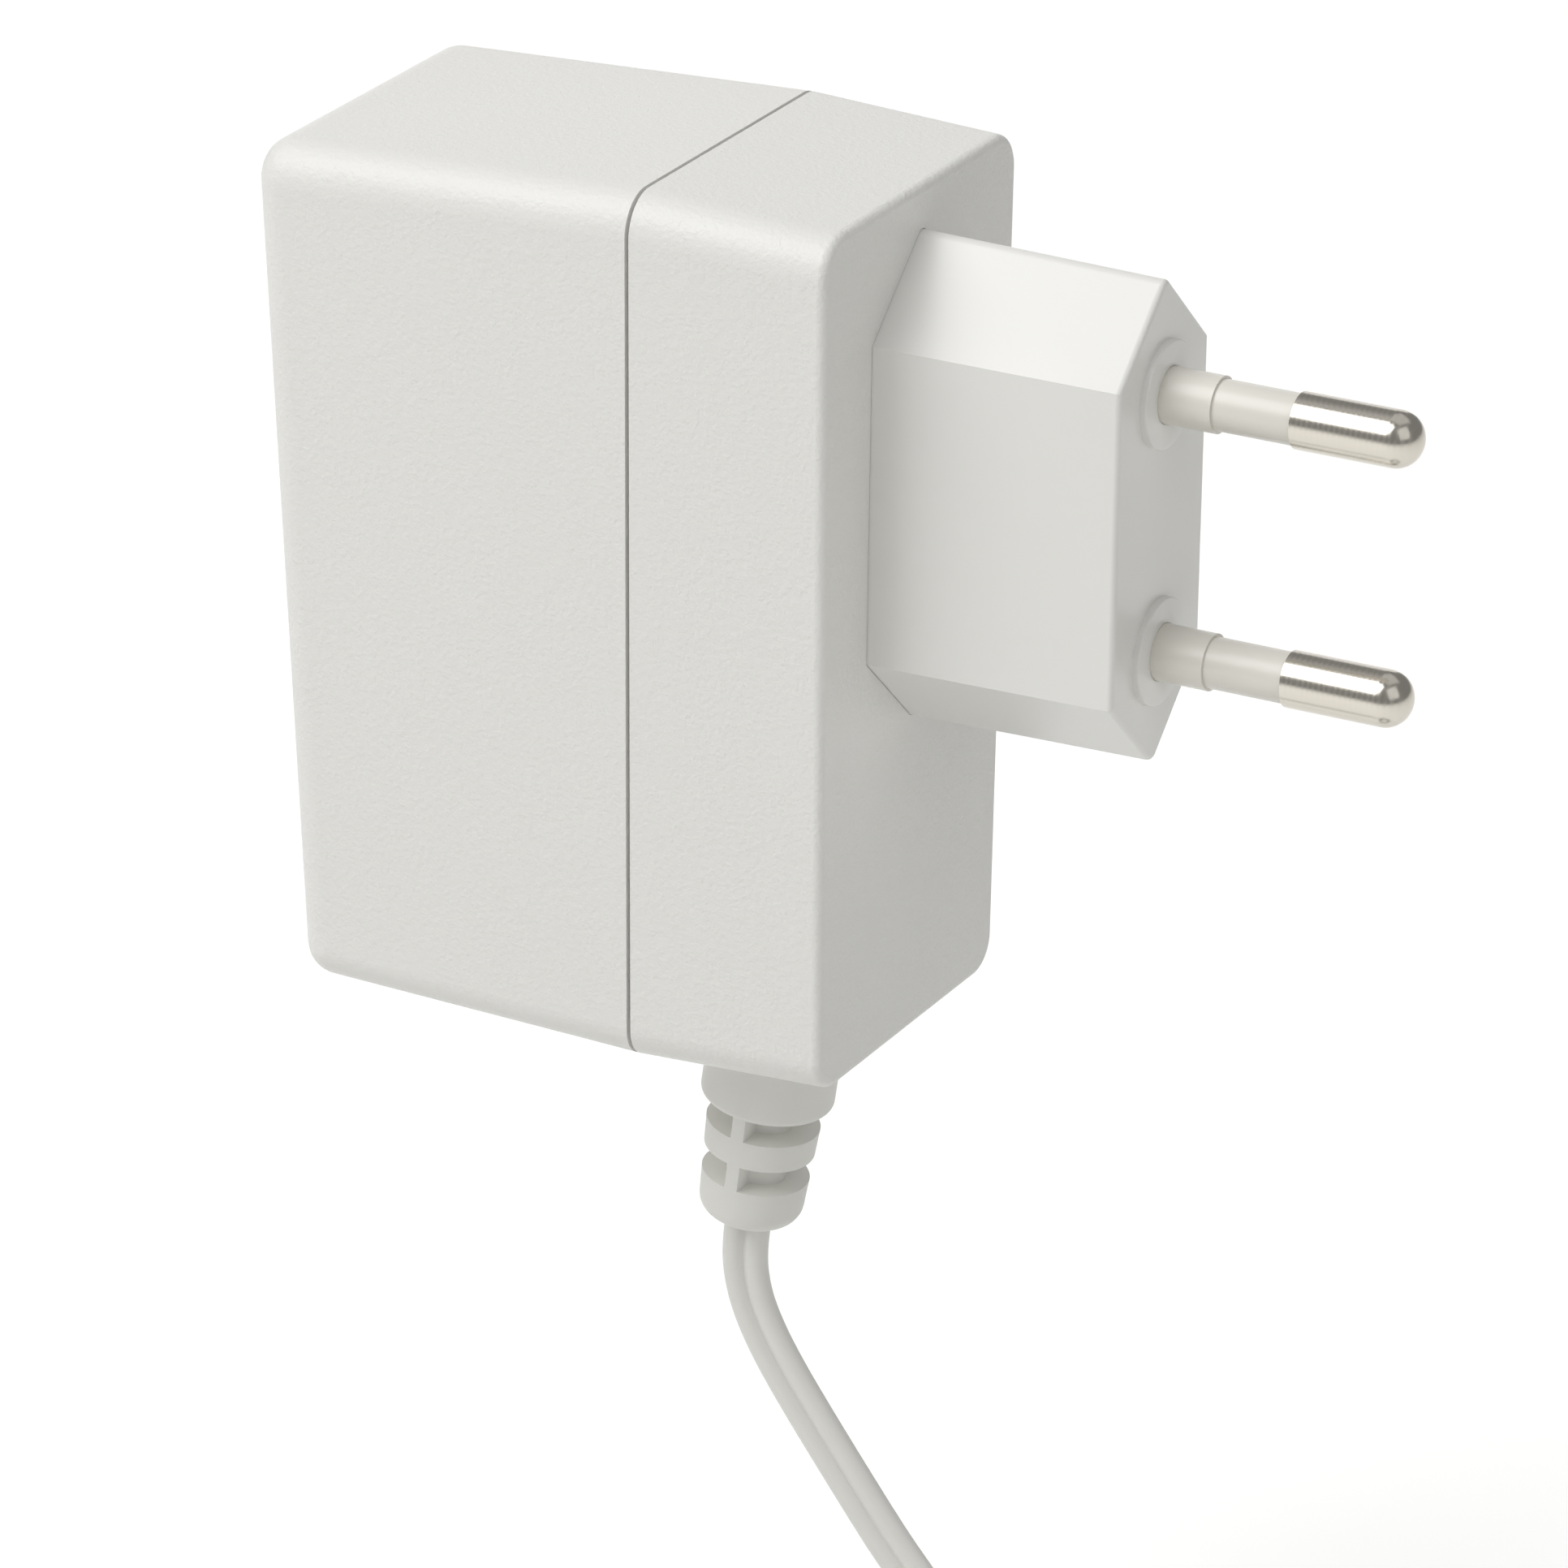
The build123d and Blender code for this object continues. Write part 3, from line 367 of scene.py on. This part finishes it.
def wire_turns():
    """Tree that lays the outer turns of wire side by side along X, over one body for the turns below."""
    sizes = {
        "Back": "Float", "Length": "Float", "Width": "Float", "Height": "Float", "Corner": "Float",
        "Wire radius": "Float", "Turns": "Int", "First turn": "Float", "Pitch": "Float", "Slackest": "Float",
    }
    tree, given, end = geometry_tree("wire_turns", {**sizes, "Seed": "Int", "Material": "Material"})
    along_x = (pi / 2, 0, pi / 2)
    lower_turns = filled_plate(tree, given["Geometry"], given["Length"])
    back = add_node(tree, "ShaderNodeCombineXYZ", links={"X": given["Back"]})
    body = add_node(
        tree,
        "GeometryNodeTransform",
        {"Rotation": along_x},
        {"Geometry": lower_turns, "Translation": back.outputs[0]},
    )
    path = add_node(
        tree,
        "GeometryNodeCurvePrimitiveQuadrilateral",
        links={"Width": given["Width"], "Height": given["Height"]},
    )
    rounded = add_node(
        tree,
        "GeometryNodeFilletCurve",
        {"mode": "POLY", "Count": corner_steps},
        {"Curve": path.outputs[0], "Radius": given["Corner"]},
    )
    section = add_node(
        tree,
        "GeometryNodeCurvePrimitiveCircle",
        {"Resolution": wire_sides},
        {"Radius": given["Wire radius"]},
    )
    turn = add_node(
        tree,
        "GeometryNodeCurveToMesh",
        links={"Curve": rounded.outputs[0], "Profile Curve": section.outputs[0]},
    )
    upright = add_node(tree, "GeometryNodeTransform", {"Rotation": along_x}, {"Geometry": turn.outputs[0]})
    first = add_node(tree, "ShaderNodeCombineXYZ", links={"X": given["First turn"]})
    step = add_node(tree, "ShaderNodeCombineXYZ", links={"X": given["Pitch"]})
    row = add_node(
        tree,
        "GeometryNodeMeshLine",
        links={"Count": given["Turns"], "Start Location": first.outputs[0], "Offset": step.outputs[0]},
    )
    tightness = add_node(
        tree, "FunctionNodeRandomValue", {3: 1.0}, {2: given["Slackest"], "Seed": given["Seed"]}
    )
    laid = add_node(
        tree,
        "GeometryNodeInstanceOnPoints",
        links={"Points": row.outputs[0], "Instance": upright.outputs[0], "Scale": tightness.outputs[1]},
    )
    whole = add_node(tree, "GeometryNodeJoinGeometry", links={"Geometry": laid.outputs[0]})
    tree.links.new(body.outputs[0], whole.inputs[0])
    close_tree(tree, whole.outputs[0], given["Material"], end[0])
    return tree


turns_tree = wire_turns()
bobbin_tube = [
    (bobbin_tube_half_width, bobbin_tube_half_height), (-bobbin_tube_half_width, bobbin_tube_half_height),
    (-bobbin_tube_half_width, -bobbin_tube_half_height), (bobbin_tube_half_width, -bobbin_tube_half_height),
]
coils = (
    ("primary", primary_back, primary_length, primary_turns, primary_wire,
     enamelled_copper("fine_enamelled_copper", "#B8642F", "#96501F")),
    ("secondary", secondary_back, secondary_length, secondary_turns, secondary_wire,
     enamelled_copper("thick_enamelled_copper", "#C4763B", "#A25C28")),
)
for coil_name, coil_back, coil_length, coil_turns, wire, copper in coils:
    below = top_layer_share * wire
    lower_body = rounded_loop(
        winding_half_width - below, winding_half_height - below, winding_radius - below, corner_steps
    )
    turn_pitch = coil_length / coil_turns
    grown(
        coil_name + "_turns",
        outline_mesh(coil_name + "_turns", [lower_body, bobbin_tube]),
        turns_tree,
        {
            "Back": coil_back,
            "Length": coil_length,
            "Width": 2 * winding_half_width - wire,
            "Height": 2 * winding_half_height - wire,
            "Corner": winding_radius - wire / 2,
            "Wire radius": wire / 2,
            "Turns": coil_turns,
            "First turn": coil_back + turn_pitch / 2,
            "Pitch": turn_pitch,
            "Slackest": 1 - turn_play,
            "Seed": 5,
            "Material": copper,
        },
        [coil_name + "_winding"],
    )


def polyester_tape():
    """Clear yellow film over the turns, with the faint ridges of what lies under it."""
    material, tree, shader, place = start_material("yellow_polyester_film")
    shader.inputs["Base Color"].default_value = linear("#E2B62A")
    shader.inputs["Roughness"].default_value = 0.22
    shader.inputs["Coat Weight"].default_value = 0.5
    shader.inputs["Coat Roughness"].default_value = 0.1
    creases = add_node(
        tree,
        "ShaderNodeTexNoise",
        {"Scale": 1 / tape_crease, "Detail": 3.0, "Distortion": 0.6},
        {"Vector": place},
    )
    bump = add_node(
        tree,
        "ShaderNodeBump",
        {"Strength": 0.7, "Distance": tape_relief},
        {"Height": creases.outputs["Fac"]},
    )
    tree.links.new(bump.outputs["Normal"], shader.inputs["Normal"])
    return material


dress(polyester_tape(), "primary_tape", "secondary_tape")

# Bobbin pins, thermal fuse and mains leads
# Tinned copper pins pressed into the ledges, a thermal cut-off in a plated can on its own wires, and two PVC
# leads in the usual brown and blue, with a soft sheen, soldered to the plug pins' tags.
drawing_mark_relief = 0.00001


def plated_metal(name, colour, roughness, grain):
    """Plated metal: smooth and bright, with faint drawing marks along the part."""
    material, tree, shader, place = start_material(name)
    shader.inputs["Base Color"].default_value = linear(colour)
    shader.inputs["Metallic"].default_value = 1.0
    marks = add_node(tree, "ShaderNodeTexNoise", {"Scale": 1 / grain, "Detail": 3.0}, {"Vector": place})
    link_range(tree, marks.outputs["Fac"], roughness - 0.06, roughness + 0.08, shader.inputs["Roughness"])
    bump = add_node(
        tree,
        "ShaderNodeBump",
        {"Strength": 0.5, "Distance": drawing_mark_relief},
        {"Height": marks.outputs["Fac"]},
    )
    tree.links.new(bump.outputs["Normal"], shader.inputs["Normal"])
    return material


dress(plated_metal("tinned_copper", "#C6C8CB", roughness=0.36, grain=0.0003), "terminal_pins")
dress(plated_metal("plated_fuse_can", "#B9A57A", roughness=0.36, grain=0.0004), "thermal_fuse")
for lead, lead_pvc, lead_colour in (
    ("primary_lead_upper", "brown_lead_pvc", "#5A3A26"),
    ("primary_lead_lower", "blue_lead_pvc", "#2E5E9E"),
):
    dress(moulded_plastic(lead_pvc, lead_colour, roughness=0.4, grain=0.0004, height=0.000003), lead)

# Plug insert and its pins
# The hexagonal nose is one fine matt moulding, held in the base shell's window by its flange, with softened
# rims on its two collars. The pins are turned brass, nickel plated and bright, and the stepped sleeves that
# are moulded over them are smoother and a little warmer than the nose.
collar_level = 0.0005
collar_softness = 0.00012
level_slack = 0.00001
lathe_ring_pitch = 0.0004
lathe_ring_relief = 0.0000012
flat_angle = radians(0.5)
sharp_angle = radians(45)
shading_angle = radians(32)


def turned_nickel():
    """Nickel over turned brass: bright warm grey, with faint lathe rings drawn wider than the real ones."""
    material, tree, shader, place = start_material("nickel_plated_brass")
    shader.inputs["Base Color"].default_value = linear("#CDC8BE")
    shader.inputs["Metallic"].default_value = 1.0
    rings = add_node(
        tree,
        "ShaderNodeTexWave",
        {"bands_direction": "X", "Scale": pi / (10 * lathe_ring_pitch), "Distortion": 2.0, "Detail": 2.0},
        {"Vector": place},
    )
    link_range(tree, rings.outputs["Fac"], 0.19, 0.25, shader.inputs["Roughness"])
    bump = add_node(
        tree,
        "ShaderNodeBump",
        {"Strength": 0.5, "Distance": lathe_ring_relief},
        {"Height": rings.outputs["Fac"]},
    )
    tree.links.new(bump.outputs["Normal"], shader.inputs["Normal"])
    return material


def softened(name, node, width, chosen, material):
    """Puts a copy of a CAD node in its place, with its chosen sharp edges rounded to this width."""
    shape = bmesh.new()
    shape.from_mesh(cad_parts[node].data)
    bmesh.ops.remove_doubles(shape, verts=shape.verts, dist=weld_distance)
    bmesh.ops.dissolve_limit(shape, angle_limit=flat_angle, verts=shape.verts, edges=shape.edges)
    sharp = [
        edge for edge in shape.edges
        if edge.is_manifold
        and edge.calc_face_angle() > sharp_angle
        and all(chosen(end.co) for end in edge.verts)
    ]
    bmesh.ops.bevel(
        shape, geom=sharp, offset=width, segments=3, profile=0.5, affect="EDGES", clamp_overlap=True
    )
    mesh = bpy.data.meshes.new(name)
    shape.to_mesh(mesh)
    shape.free()
    for attribute in [layer for layer in mesh.attributes if layer.name == "custom_normal"]:
        mesh.attributes.remove(attribute)
    mesh.shade_smooth()
    mesh.set_sharp_from_angle(angle=shading_angle)
    mesh.materials.clear()
    mesh.materials.append(material)
    piece = bpy.data.objects.new(name, mesh)
    bpy.context.scene.collection.objects.link(piece)
    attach(piece, "root")
    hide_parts(node)
    return piece


nickel = turned_nickel()
polycarbonate = moulded_plastic(
    "fine_matt_white_polycarbonate",
    "#EEEDE9",
    roughness=0.33,
    grain=0.00035,
    height=0.000003,
    ior=1.585,
    unevenness=0.02,
)
softened(
    "plug_nose",
    "plug_insert",
    collar_softness,
    lambda place: place.x > collar_level - level_slack,
    polycarbonate,
)
dress(nickel, "pin_upper", "pin_lower")
sleeve_polyester = moulded_plastic(
    "white_sleeve_polyester", "#E6E3DA", roughness=0.34, grain=0.0005, height=0.000003, ior=1.57
)
dress(sleeve_polyester, "pin_sleeve_upper", "pin_sleeve_lower")

# Housing shells
# Two white mouldings with a spark-eroded texture, welded at a tongue and groove that leaves a thin shadow
# line round the housing. The texture's grain is 0.1 mm in the real one and drawn 0.4 mm wide to show.
textured_abs = moulded_plastic("textured_white_abs", "#EDECE8", roughness=0.46, grain=0.0004, height=0.00008)
dress(textured_abs, "base_shell", "cover_shell")

# Strain relief
# Soft white vinyl moulded on the cord, with two rows of slots that let it bend. It is a little duller than
# the housing, and every edge of its mould is eased so that the soft part comes out of it.
relief_top = -0.0426
relief_top_slack = 0.0001
relief_softness = 0.00022
soft_vinyl = moulded_plastic(
    "soft_white_vinyl", "#E9E8E3", roughness=0.5, grain=0.0005, height=0.000006, ior=1.54
)
softened(
    "bend_relief",
    "strain_relief",
    relief_softness,
    lambda place: place.z < relief_top - relief_top_slack,
    soft_vinyl,
)
dress(soft_vinyl, "cord_tail")

# Output cord
# Flat twin lead of limp white vinyl, two round wires joined by a web, 3.5 mm by 1.75 mm. It hangs from the
# relief, lies on the surface and is put away in one coil there, held by a tie.
cord_width = 0.0035
wire_radius = cord_width / 4
web_half = 0.0003
wire_steps = 14
run_points = [
    (-0.03072, 0, -0.0588),
    (-0.03108, 0, -0.06142),
    (-0.03087, 0, -0.06407),
    (-0.03004, 0, -0.06669),
    (-0.02798, 0, -0.07035),
    (-0.02298, 0, -0.07714),
    (-0.0175, 0, -0.08428),
    (-0.01103, 0, -0.09053),
    (-0.00366, 0, -0.09496),
    (0.0047, 0, -0.09765),
    (0.0127, 0, -0.09765),
]
end_points = [
    (0.0126, -0.0455, -0.10815),
    (0.0058, -0.0455, -0.10815),
    (-0.0072, -0.0424, -0.10525),
    (-0.014, -0.0424, -0.10525),
]
coil_centre = (0.024, -0.02275)
row_levels = (-0.09765, -0.10115, -0.10465, -0.10815)
inner_turn, middle_turn, outer_turn = 0.01575, 0.01925, 0.02275
turns = [
    (outer_turn, 0), (middle_turn, 0),
    (inner_turn, 1), (middle_turn, 1), (outer_turn, 1),
    (outer_turn, 2), (middle_turn, 2), (inner_turn, 2),
    (inner_turn, 3), (middle_turn, 3), (outer_turn, 3),
]
points_per_turn = 16
crossover_points = 4
flat_tilt = radians(90)
coil_tilt = radians(45)
last_flat_point = 6
points_to_tilt = 6
points_to_level = 4


def coil_points():
    """Points of the coil: clockwise turns with a short crossover to the next one, and a last half turn."""
    corner_reach = 1 / cos(pi / points_per_turn)
    points = []
    for index, (radius, row) in enumerate(turns):
        next_radius, next_row = turns[min(index + 1, len(turns) - 1)]
        steps = points_per_turn if index < len(turns) - 1 else points_per_turn // 2
        for step in range(steps):
            share = max(0, step - (points_per_turn - crossover_points)) / crossover_points
            reach = (radius + share * (next_radius - radius)) * corner_reach
            level = row_levels[row] + share * (row_levels[next_row] - row_levels[row])
            angle = pi / 2 - 2 * pi * (step + 0.5) / points_per_turn
            points.append((coil_centre[0] + reach * cos(angle), coil_centre[1] + reach * sin(angle), level))
    return points


def twin_profile():
    """Outline across the flat cord: two wires and the web between them."""
    web_angle = asin(web_half / wire_radius)
    outline = []
    for side in (1, -1):
        for step in range(wire_steps + 1):
            angle = -(pi - web_angle) + 2 * (pi - web_angle) * step / wire_steps
            across = wire_radius + wire_radius * cos(angle)
            outline.append((side * across, side * wire_radius * sin(angle)))
    curve = bpy.data.curves.new("twin_profile", "CURVE")
    curve.dimensions = "2D"
    spline = curve.splines.new("POLY")
    spline.points.add(len(outline) - 1)
    for point, (across, along) in zip(spline.points, reversed(outline)):
        point.co = (across, along, 0, 1)
    spline.use_cyclic_u = True
    return bpy.data.objects.new("twin_profile", curve)


coiled = coil_points()
route = run_points + coiled + end_points
cord_curve = bpy.data.curves.new("output_cord", "CURVE")
cord_curve.dimensions = "3D"
cord_curve.resolution_u = 5
cord_curve.bevel_mode = "OBJECT"
cord_curve.bevel_object = twin_profile()
cord_curve.use_fill_caps = True
cord_spline = cord_curve.splines.new("NURBS")
cord_spline.points.add(len(route) - 1)
last_tilted_point = len(route) - len(end_points) - points_to_level + 1
for index, (point, place) in enumerate(zip(cord_spline.points, route)):
    point.co = (*place, 1)
    into_coil = min(max((index - last_flat_point) / points_to_tilt, 0), 1)
    out_of_coil = min(max((index - last_tilted_point) / points_to_level, 0), 1)
    point.tilt = flat_tilt + coil_tilt * (into_coil - out_of_coil)
cord_spline.order_u = 3
cord_spline.use_endpoint_u = True
output_cord = bpy.data.objects.new("output_cord", cord_curve)
bpy.context.scene.collection.objects.link(output_cord)
limp_vinyl = moulded_plastic(
    "limp_white_vinyl", "#E9E8E3", roughness=0.44, grain=0.0008, height=0.000005, ior=1.54
)
cord_curve.materials.append(limp_vinyl)
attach(output_cord, "root")
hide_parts("cord_run", "cord_coil", "cord_end")

# Coil tie
# A closed band of natural nylon round every turn at one side of the coil. It is a moulded strap with eased
# edges, a little greyer and glossier than the cord.
tie_softness = 0.00015
natural_nylon = moulded_plastic(
    "natural_nylon_band", "#DAD8CF", roughness=0.38, grain=0.0005, height=0.000004
)
coil_tie = softened("coil_tie", "cord_tie", tie_softness, lambda place: True, natural_nylon)

# Low-voltage plug
# Barrel plug at the cord's end: nickel-plated outer and centre contacts with a satin black insulator between
# them, in a soft vinyl grip moulded with ribs for the fingers and grooves that let its tail bend.
plug_axis_y = -0.0424
plug_axis_z = -0.10525
plug_tail_x = -0.014
plug_grip_back = -0.022
plug_grip_front = -0.039
plug_seat_x = -0.035
plug_tail_radius = 0.0027
plug_tail_growth = 0.0006
plug_tail_grooves = (0.002, 0.004, 0.006)
tail_groove_half = 0.00045
tail_groove_depth = 0.0005
plug_seat_radius = 0.00255
grip_radius = 0.00475
grip_body_radius = 0.00435
grip_edge_radius = 0.0012
rib_radius = 0.0005
rib_count = 7
rib_pitch = 0.0018
rib_sides = 10
edge_steps = 6
turned_steps = 48


def grip_profile():
    """Place along the plug and radius at each corner of the grip's section, from its tail to its seat."""
    tail_length = plug_tail_x - plug_grip_back
    profile = [(plug_tail_x, 0), (plug_tail_x, plug_tail_radius)]
    for from_tail in plug_tail_grooves:
        radius = plug_tail_radius + plug_tail_growth * from_tail / tail_length
        low = radius - tail_groove_depth
        start = plug_tail_x - from_tail + tail_groove_half
        stop = plug_tail_x - from_tail - tail_groove_half
        profile += [(start, radius), (start, low), (stop, low), (stop, radius)]
    profile.append((plug_grip_back, plug_tail_radius + plug_tail_growth))
    edges = ((plug_grip_back - grip_edge_radius, 0), (plug_grip_front + grip_edge_radius, 1))
    for centre_x, first_turn in edges:
        for step in range(edge_steps + 1):
            angle = pi / 2 * (first_turn + step / edge_steps)
            reach = grip_body_radius - grip_edge_radius + grip_edge_radius * sin(angle)
            profile.append((centre_x + grip_edge_radius * cos(angle), reach))
    return profile + [(plug_grip_front, plug_seat_radius), (plug_seat_x, plug_seat_radius), (plug_seat_x, 0)]


def turned_mesh(name, profile):
    """Closed mesh of a profile turned about the plug's axis; the profile starts and ends on the axis."""
    points = [(profile[0][0], plug_axis_y, plug_axis_z), (profile[-1][0], plug_axis_y, plug_axis_z)]
    for along, radius in profile[1:-1]:
        for step in range(turned_steps):
            angle = 2 * pi * step / turned_steps
            points.append((along, plug_axis_y + radius * cos(angle), plug_axis_z + radius * sin(angle)))
    faces = []
    rings = len(profile) - 2
    for step in range(turned_steps):
        following = (step + 1) % turned_steps
        faces.append((0, 2 + step, 2 + following))
        faces.append((1, 2 + (rings - 1) * turned_steps + following, 2 + (rings - 1) * turned_steps + step))
        for ring in range(rings - 1):
            near, far = 2 + ring * turned_steps, 2 + (ring + 1) * turned_steps
            faces.append((near + step, far + step, far + following, near + following))
    mesh = bpy.data.meshes.new(name)
    mesh.from_pydata(points, [], faces)
    shape = bmesh.new()
    shape.from_mesh(mesh)
    bmesh.ops.recalc_face_normals(shape, faces=shape.faces)
    shape.to_mesh(mesh)
    shape.free()
    mesh.shade_smooth()
    mesh.set_sharp_from_angle(angle=shading_angle)
    return mesh


def ribbed_grip():
    """Tree that sets round ribs along a turned grip, half sunk in it."""
    sizes = {
        "First rib": "Vector",
        "Ring radius": "Float",
        "Rib radius": "Float",
        "Ribs": "Int",
        "Pitch": "Float",
    }
    tree, given, end = geometry_tree("ribbed_grip", {**sizes, "Material": "Material"})
    ring = add_node(
        tree,
        "GeometryNodeCurvePrimitiveCircle",
        {"Resolution": turned_steps},
        {"Radius": given["Ring radius"]},
    )
    section = add_node(
        tree, "GeometryNodeCurvePrimitiveCircle", {"Resolution": rib_sides}, {"Radius": given["Rib radius"]}
    )
    rib = add_node(
        tree,
        "GeometryNodeCurveToMesh",
        links={"Curve": ring.outputs[0], "Profile Curve": section.outputs[0]},
    )
    upright = add_node(
        tree, "GeometryNodeTransform", {"Rotation": (0, pi / 2, 0)}, {"Geometry": rib.outputs[0]}
    )
    step = add_node(tree, "ShaderNodeCombineXYZ", links={"X": given["Pitch"]})
    row = add_node(
        tree,
        "GeometryNodeMeshLine",
        links={"Count": given["Ribs"], "Start Location": given["First rib"], "Offset": step.outputs[0]},
    )
    ribs = add_node(
        tree,
        "GeometryNodeInstanceOnPoints",
        links={"Points": row.outputs[0], "Instance": upright.outputs[0]},
    )
    whole = add_node(tree, "GeometryNodeJoinGeometry", links={"Geometry": ribs.outputs[0]})
    tree.links.new(given["Geometry"], whole.inputs[0])
    close_tree(tree, whole.outputs[0], given["Material"], end[0])
    return tree


rib_middle = (plug_grip_back + plug_grip_front) / 2
plug_moulding = grown(
    "plug_moulding",
    turned_mesh("plug_moulding", grip_profile()),
    ribbed_grip(),
    {
        "First rib": (rib_middle - rib_pitch * (rib_count - 1) / 2, plug_axis_y, plug_axis_z),
        "Ring radius": grip_radius - rib_radius,
        "Rib radius": rib_radius,
        "Ribs": rib_count,
        "Pitch": rib_pitch,
        "Material": soft_vinyl,
    },
    ["plug_grip"],
)
dress(nickel, "plug_barrel", "plug_contact")
insulator_polyester = moulded_plastic(
    "black_insulator_polyester", "#1C1C1D", roughness=0.4, grain=0.0005, height=0.000003, ior=1.57
)
dress(insulator_polyester, "plug_insulator")

plug_pieces = [coil_tie, plug_moulding]
plug_pieces += [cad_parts[name] for name in ("plug_barrel", "plug_insulator", "plug_contact")]

# Floor and light
# A plain pale surface, which the coil lies on, and soft studio light from the upper left, with weaker lamps
# on the right, above and behind. The floor turns white to the camera and keeps its shadows.
floor_level = -0.11003
floor_size = 6.0
floor_lift = 0.43
lit_centre = Vector((-0.03, 0, -0.01))
world_level = 0.28
key_power = 4.3
fill_power = 1.0
top_power = 0.6
back_power = 1.2


def plain_floor():
    """Pale matt floor with the light added that turns it white where nothing shades it."""
    mesh = bpy.data.meshes.new("floor")
    half = floor_size / 2
    corners = ((-half, -half), (half, -half), (half, half), (-half, half))
    mesh.from_pydata([(*corner, floor_level) for corner in corners], [], [(0, 1, 2, 3)])
    floor = bpy.data.objects.new("floor", mesh)
    bpy.context.scene.collection.objects.link(floor)
    material, tree, shader, _ = start_material("pale_floor")
    shader.inputs["Base Color"].default_value = linear("#F2F2F0")
    shader.inputs["Roughness"].default_value = 0.9
    shader.inputs["Specular IOR Level"].default_value = 0.0
    path = add_node(tree, "ShaderNodeLightPath")
    rays = [path.outputs[ray] for ray in ("Is Camera Ray", "Is Glossy Ray", "Is Transmission Ray")]
    either = add_node(tree, "ShaderNodeMath", {"operation": "MAXIMUM"}, {0: rays[0], 1: rays[1]})
    seen = add_node(tree, "ShaderNodeMath", {"operation": "MAXIMUM"}, {0: either.outputs[0], 1: rays[2]})
    lift = add_node(tree, "ShaderNodeMath", {"operation": "MULTIPLY", 1: floor_lift}, {0: seen.outputs[0]})
    shader.inputs["Emission Color"].default_value = (1, 1, 1, 1)
    tree.links.new(lift.outputs[0], shader.inputs["Emission Strength"])
    mesh.materials.append(material)


def softbox(name, direction, distance, size, power):
    """Square area lamp that faces the housing from this direction."""
    lamp = bpy.data.lights.new(name, "AREA")
    lamp.shape = "SQUARE"
    lamp.size = size
    lamp.energy = power
    holder = bpy.data.objects.new(name, lamp)
    towards = Vector(direction).normalized()
    holder.location = lit_centre + towards * distance
    holder.rotation_mode = "QUATERNION"
    holder.rotation_quaternion = towards.to_track_quat("Z", "Y")
    bpy.context.scene.collection.objects.link(holder)


plain_floor()
softbox("key_light", (-0.45, -0.6, 0.9), 0.8, 0.6, key_power)
softbox("fill_light", (0.8, -0.4, 0.65), 0.9, 0.7, fill_power)
softbox("top_light", (0.1, 0.3, 1.0), 0.8, 0.7, top_power)
softbox("back_light", (-0.5, 0.9, 0.1), 0.9, 0.7, back_power)
world = bpy.data.worlds.new("studio")
world.use_nodes = True
surround = world.node_tree.nodes["Background"]
surround.inputs["Color"].default_value = (1, 1, 1, 1)
surround.inputs["Strength"].default_value = world_level
bpy.context.scene.world = world
bpy.context.scene.view_settings.view_transform = "Standard"

# Camera
# A long lens from the front left and above. Its place, its focal length and its slight roll are fitted to
# the standard sizes of the plug's face and pins.
camera_azimuth = radians(27.665)
camera_elevation = radians(22.94)
camera_roll = radians(0.781)
camera_distance = 0.61816
camera_target = Vector((-0.01902, -0.01787, -0.01654))
camera_lens = 210.37
camera_sensor = 36.0
nearest_seen = 0.05
farthest_seen = 20.0

camera_data = bpy.data.cameras.new("camera")
camera_data.lens = camera_lens
camera_data.sensor_width = camera_sensor
camera_data.clip_start = nearest_seen
camera_data.clip_end = farthest_seen
camera = bpy.data.objects.new("camera", camera_data)
backwards = Vector((
    sin(camera_azimuth) * cos(camera_elevation),
    -cos(camera_azimuth) * cos(camera_elevation),
    sin(camera_elevation),
))
camera.location = camera_target + backwards * camera_distance
camera.rotation_mode = "QUATERNION"
camera.rotation_quaternion = backwards.to_track_quat("Z", "Y") @ Quaternion((0, 0, 1), camera_roll)
bpy.context.scene.collection.objects.link(camera)
bpy.context.scene.camera = camera
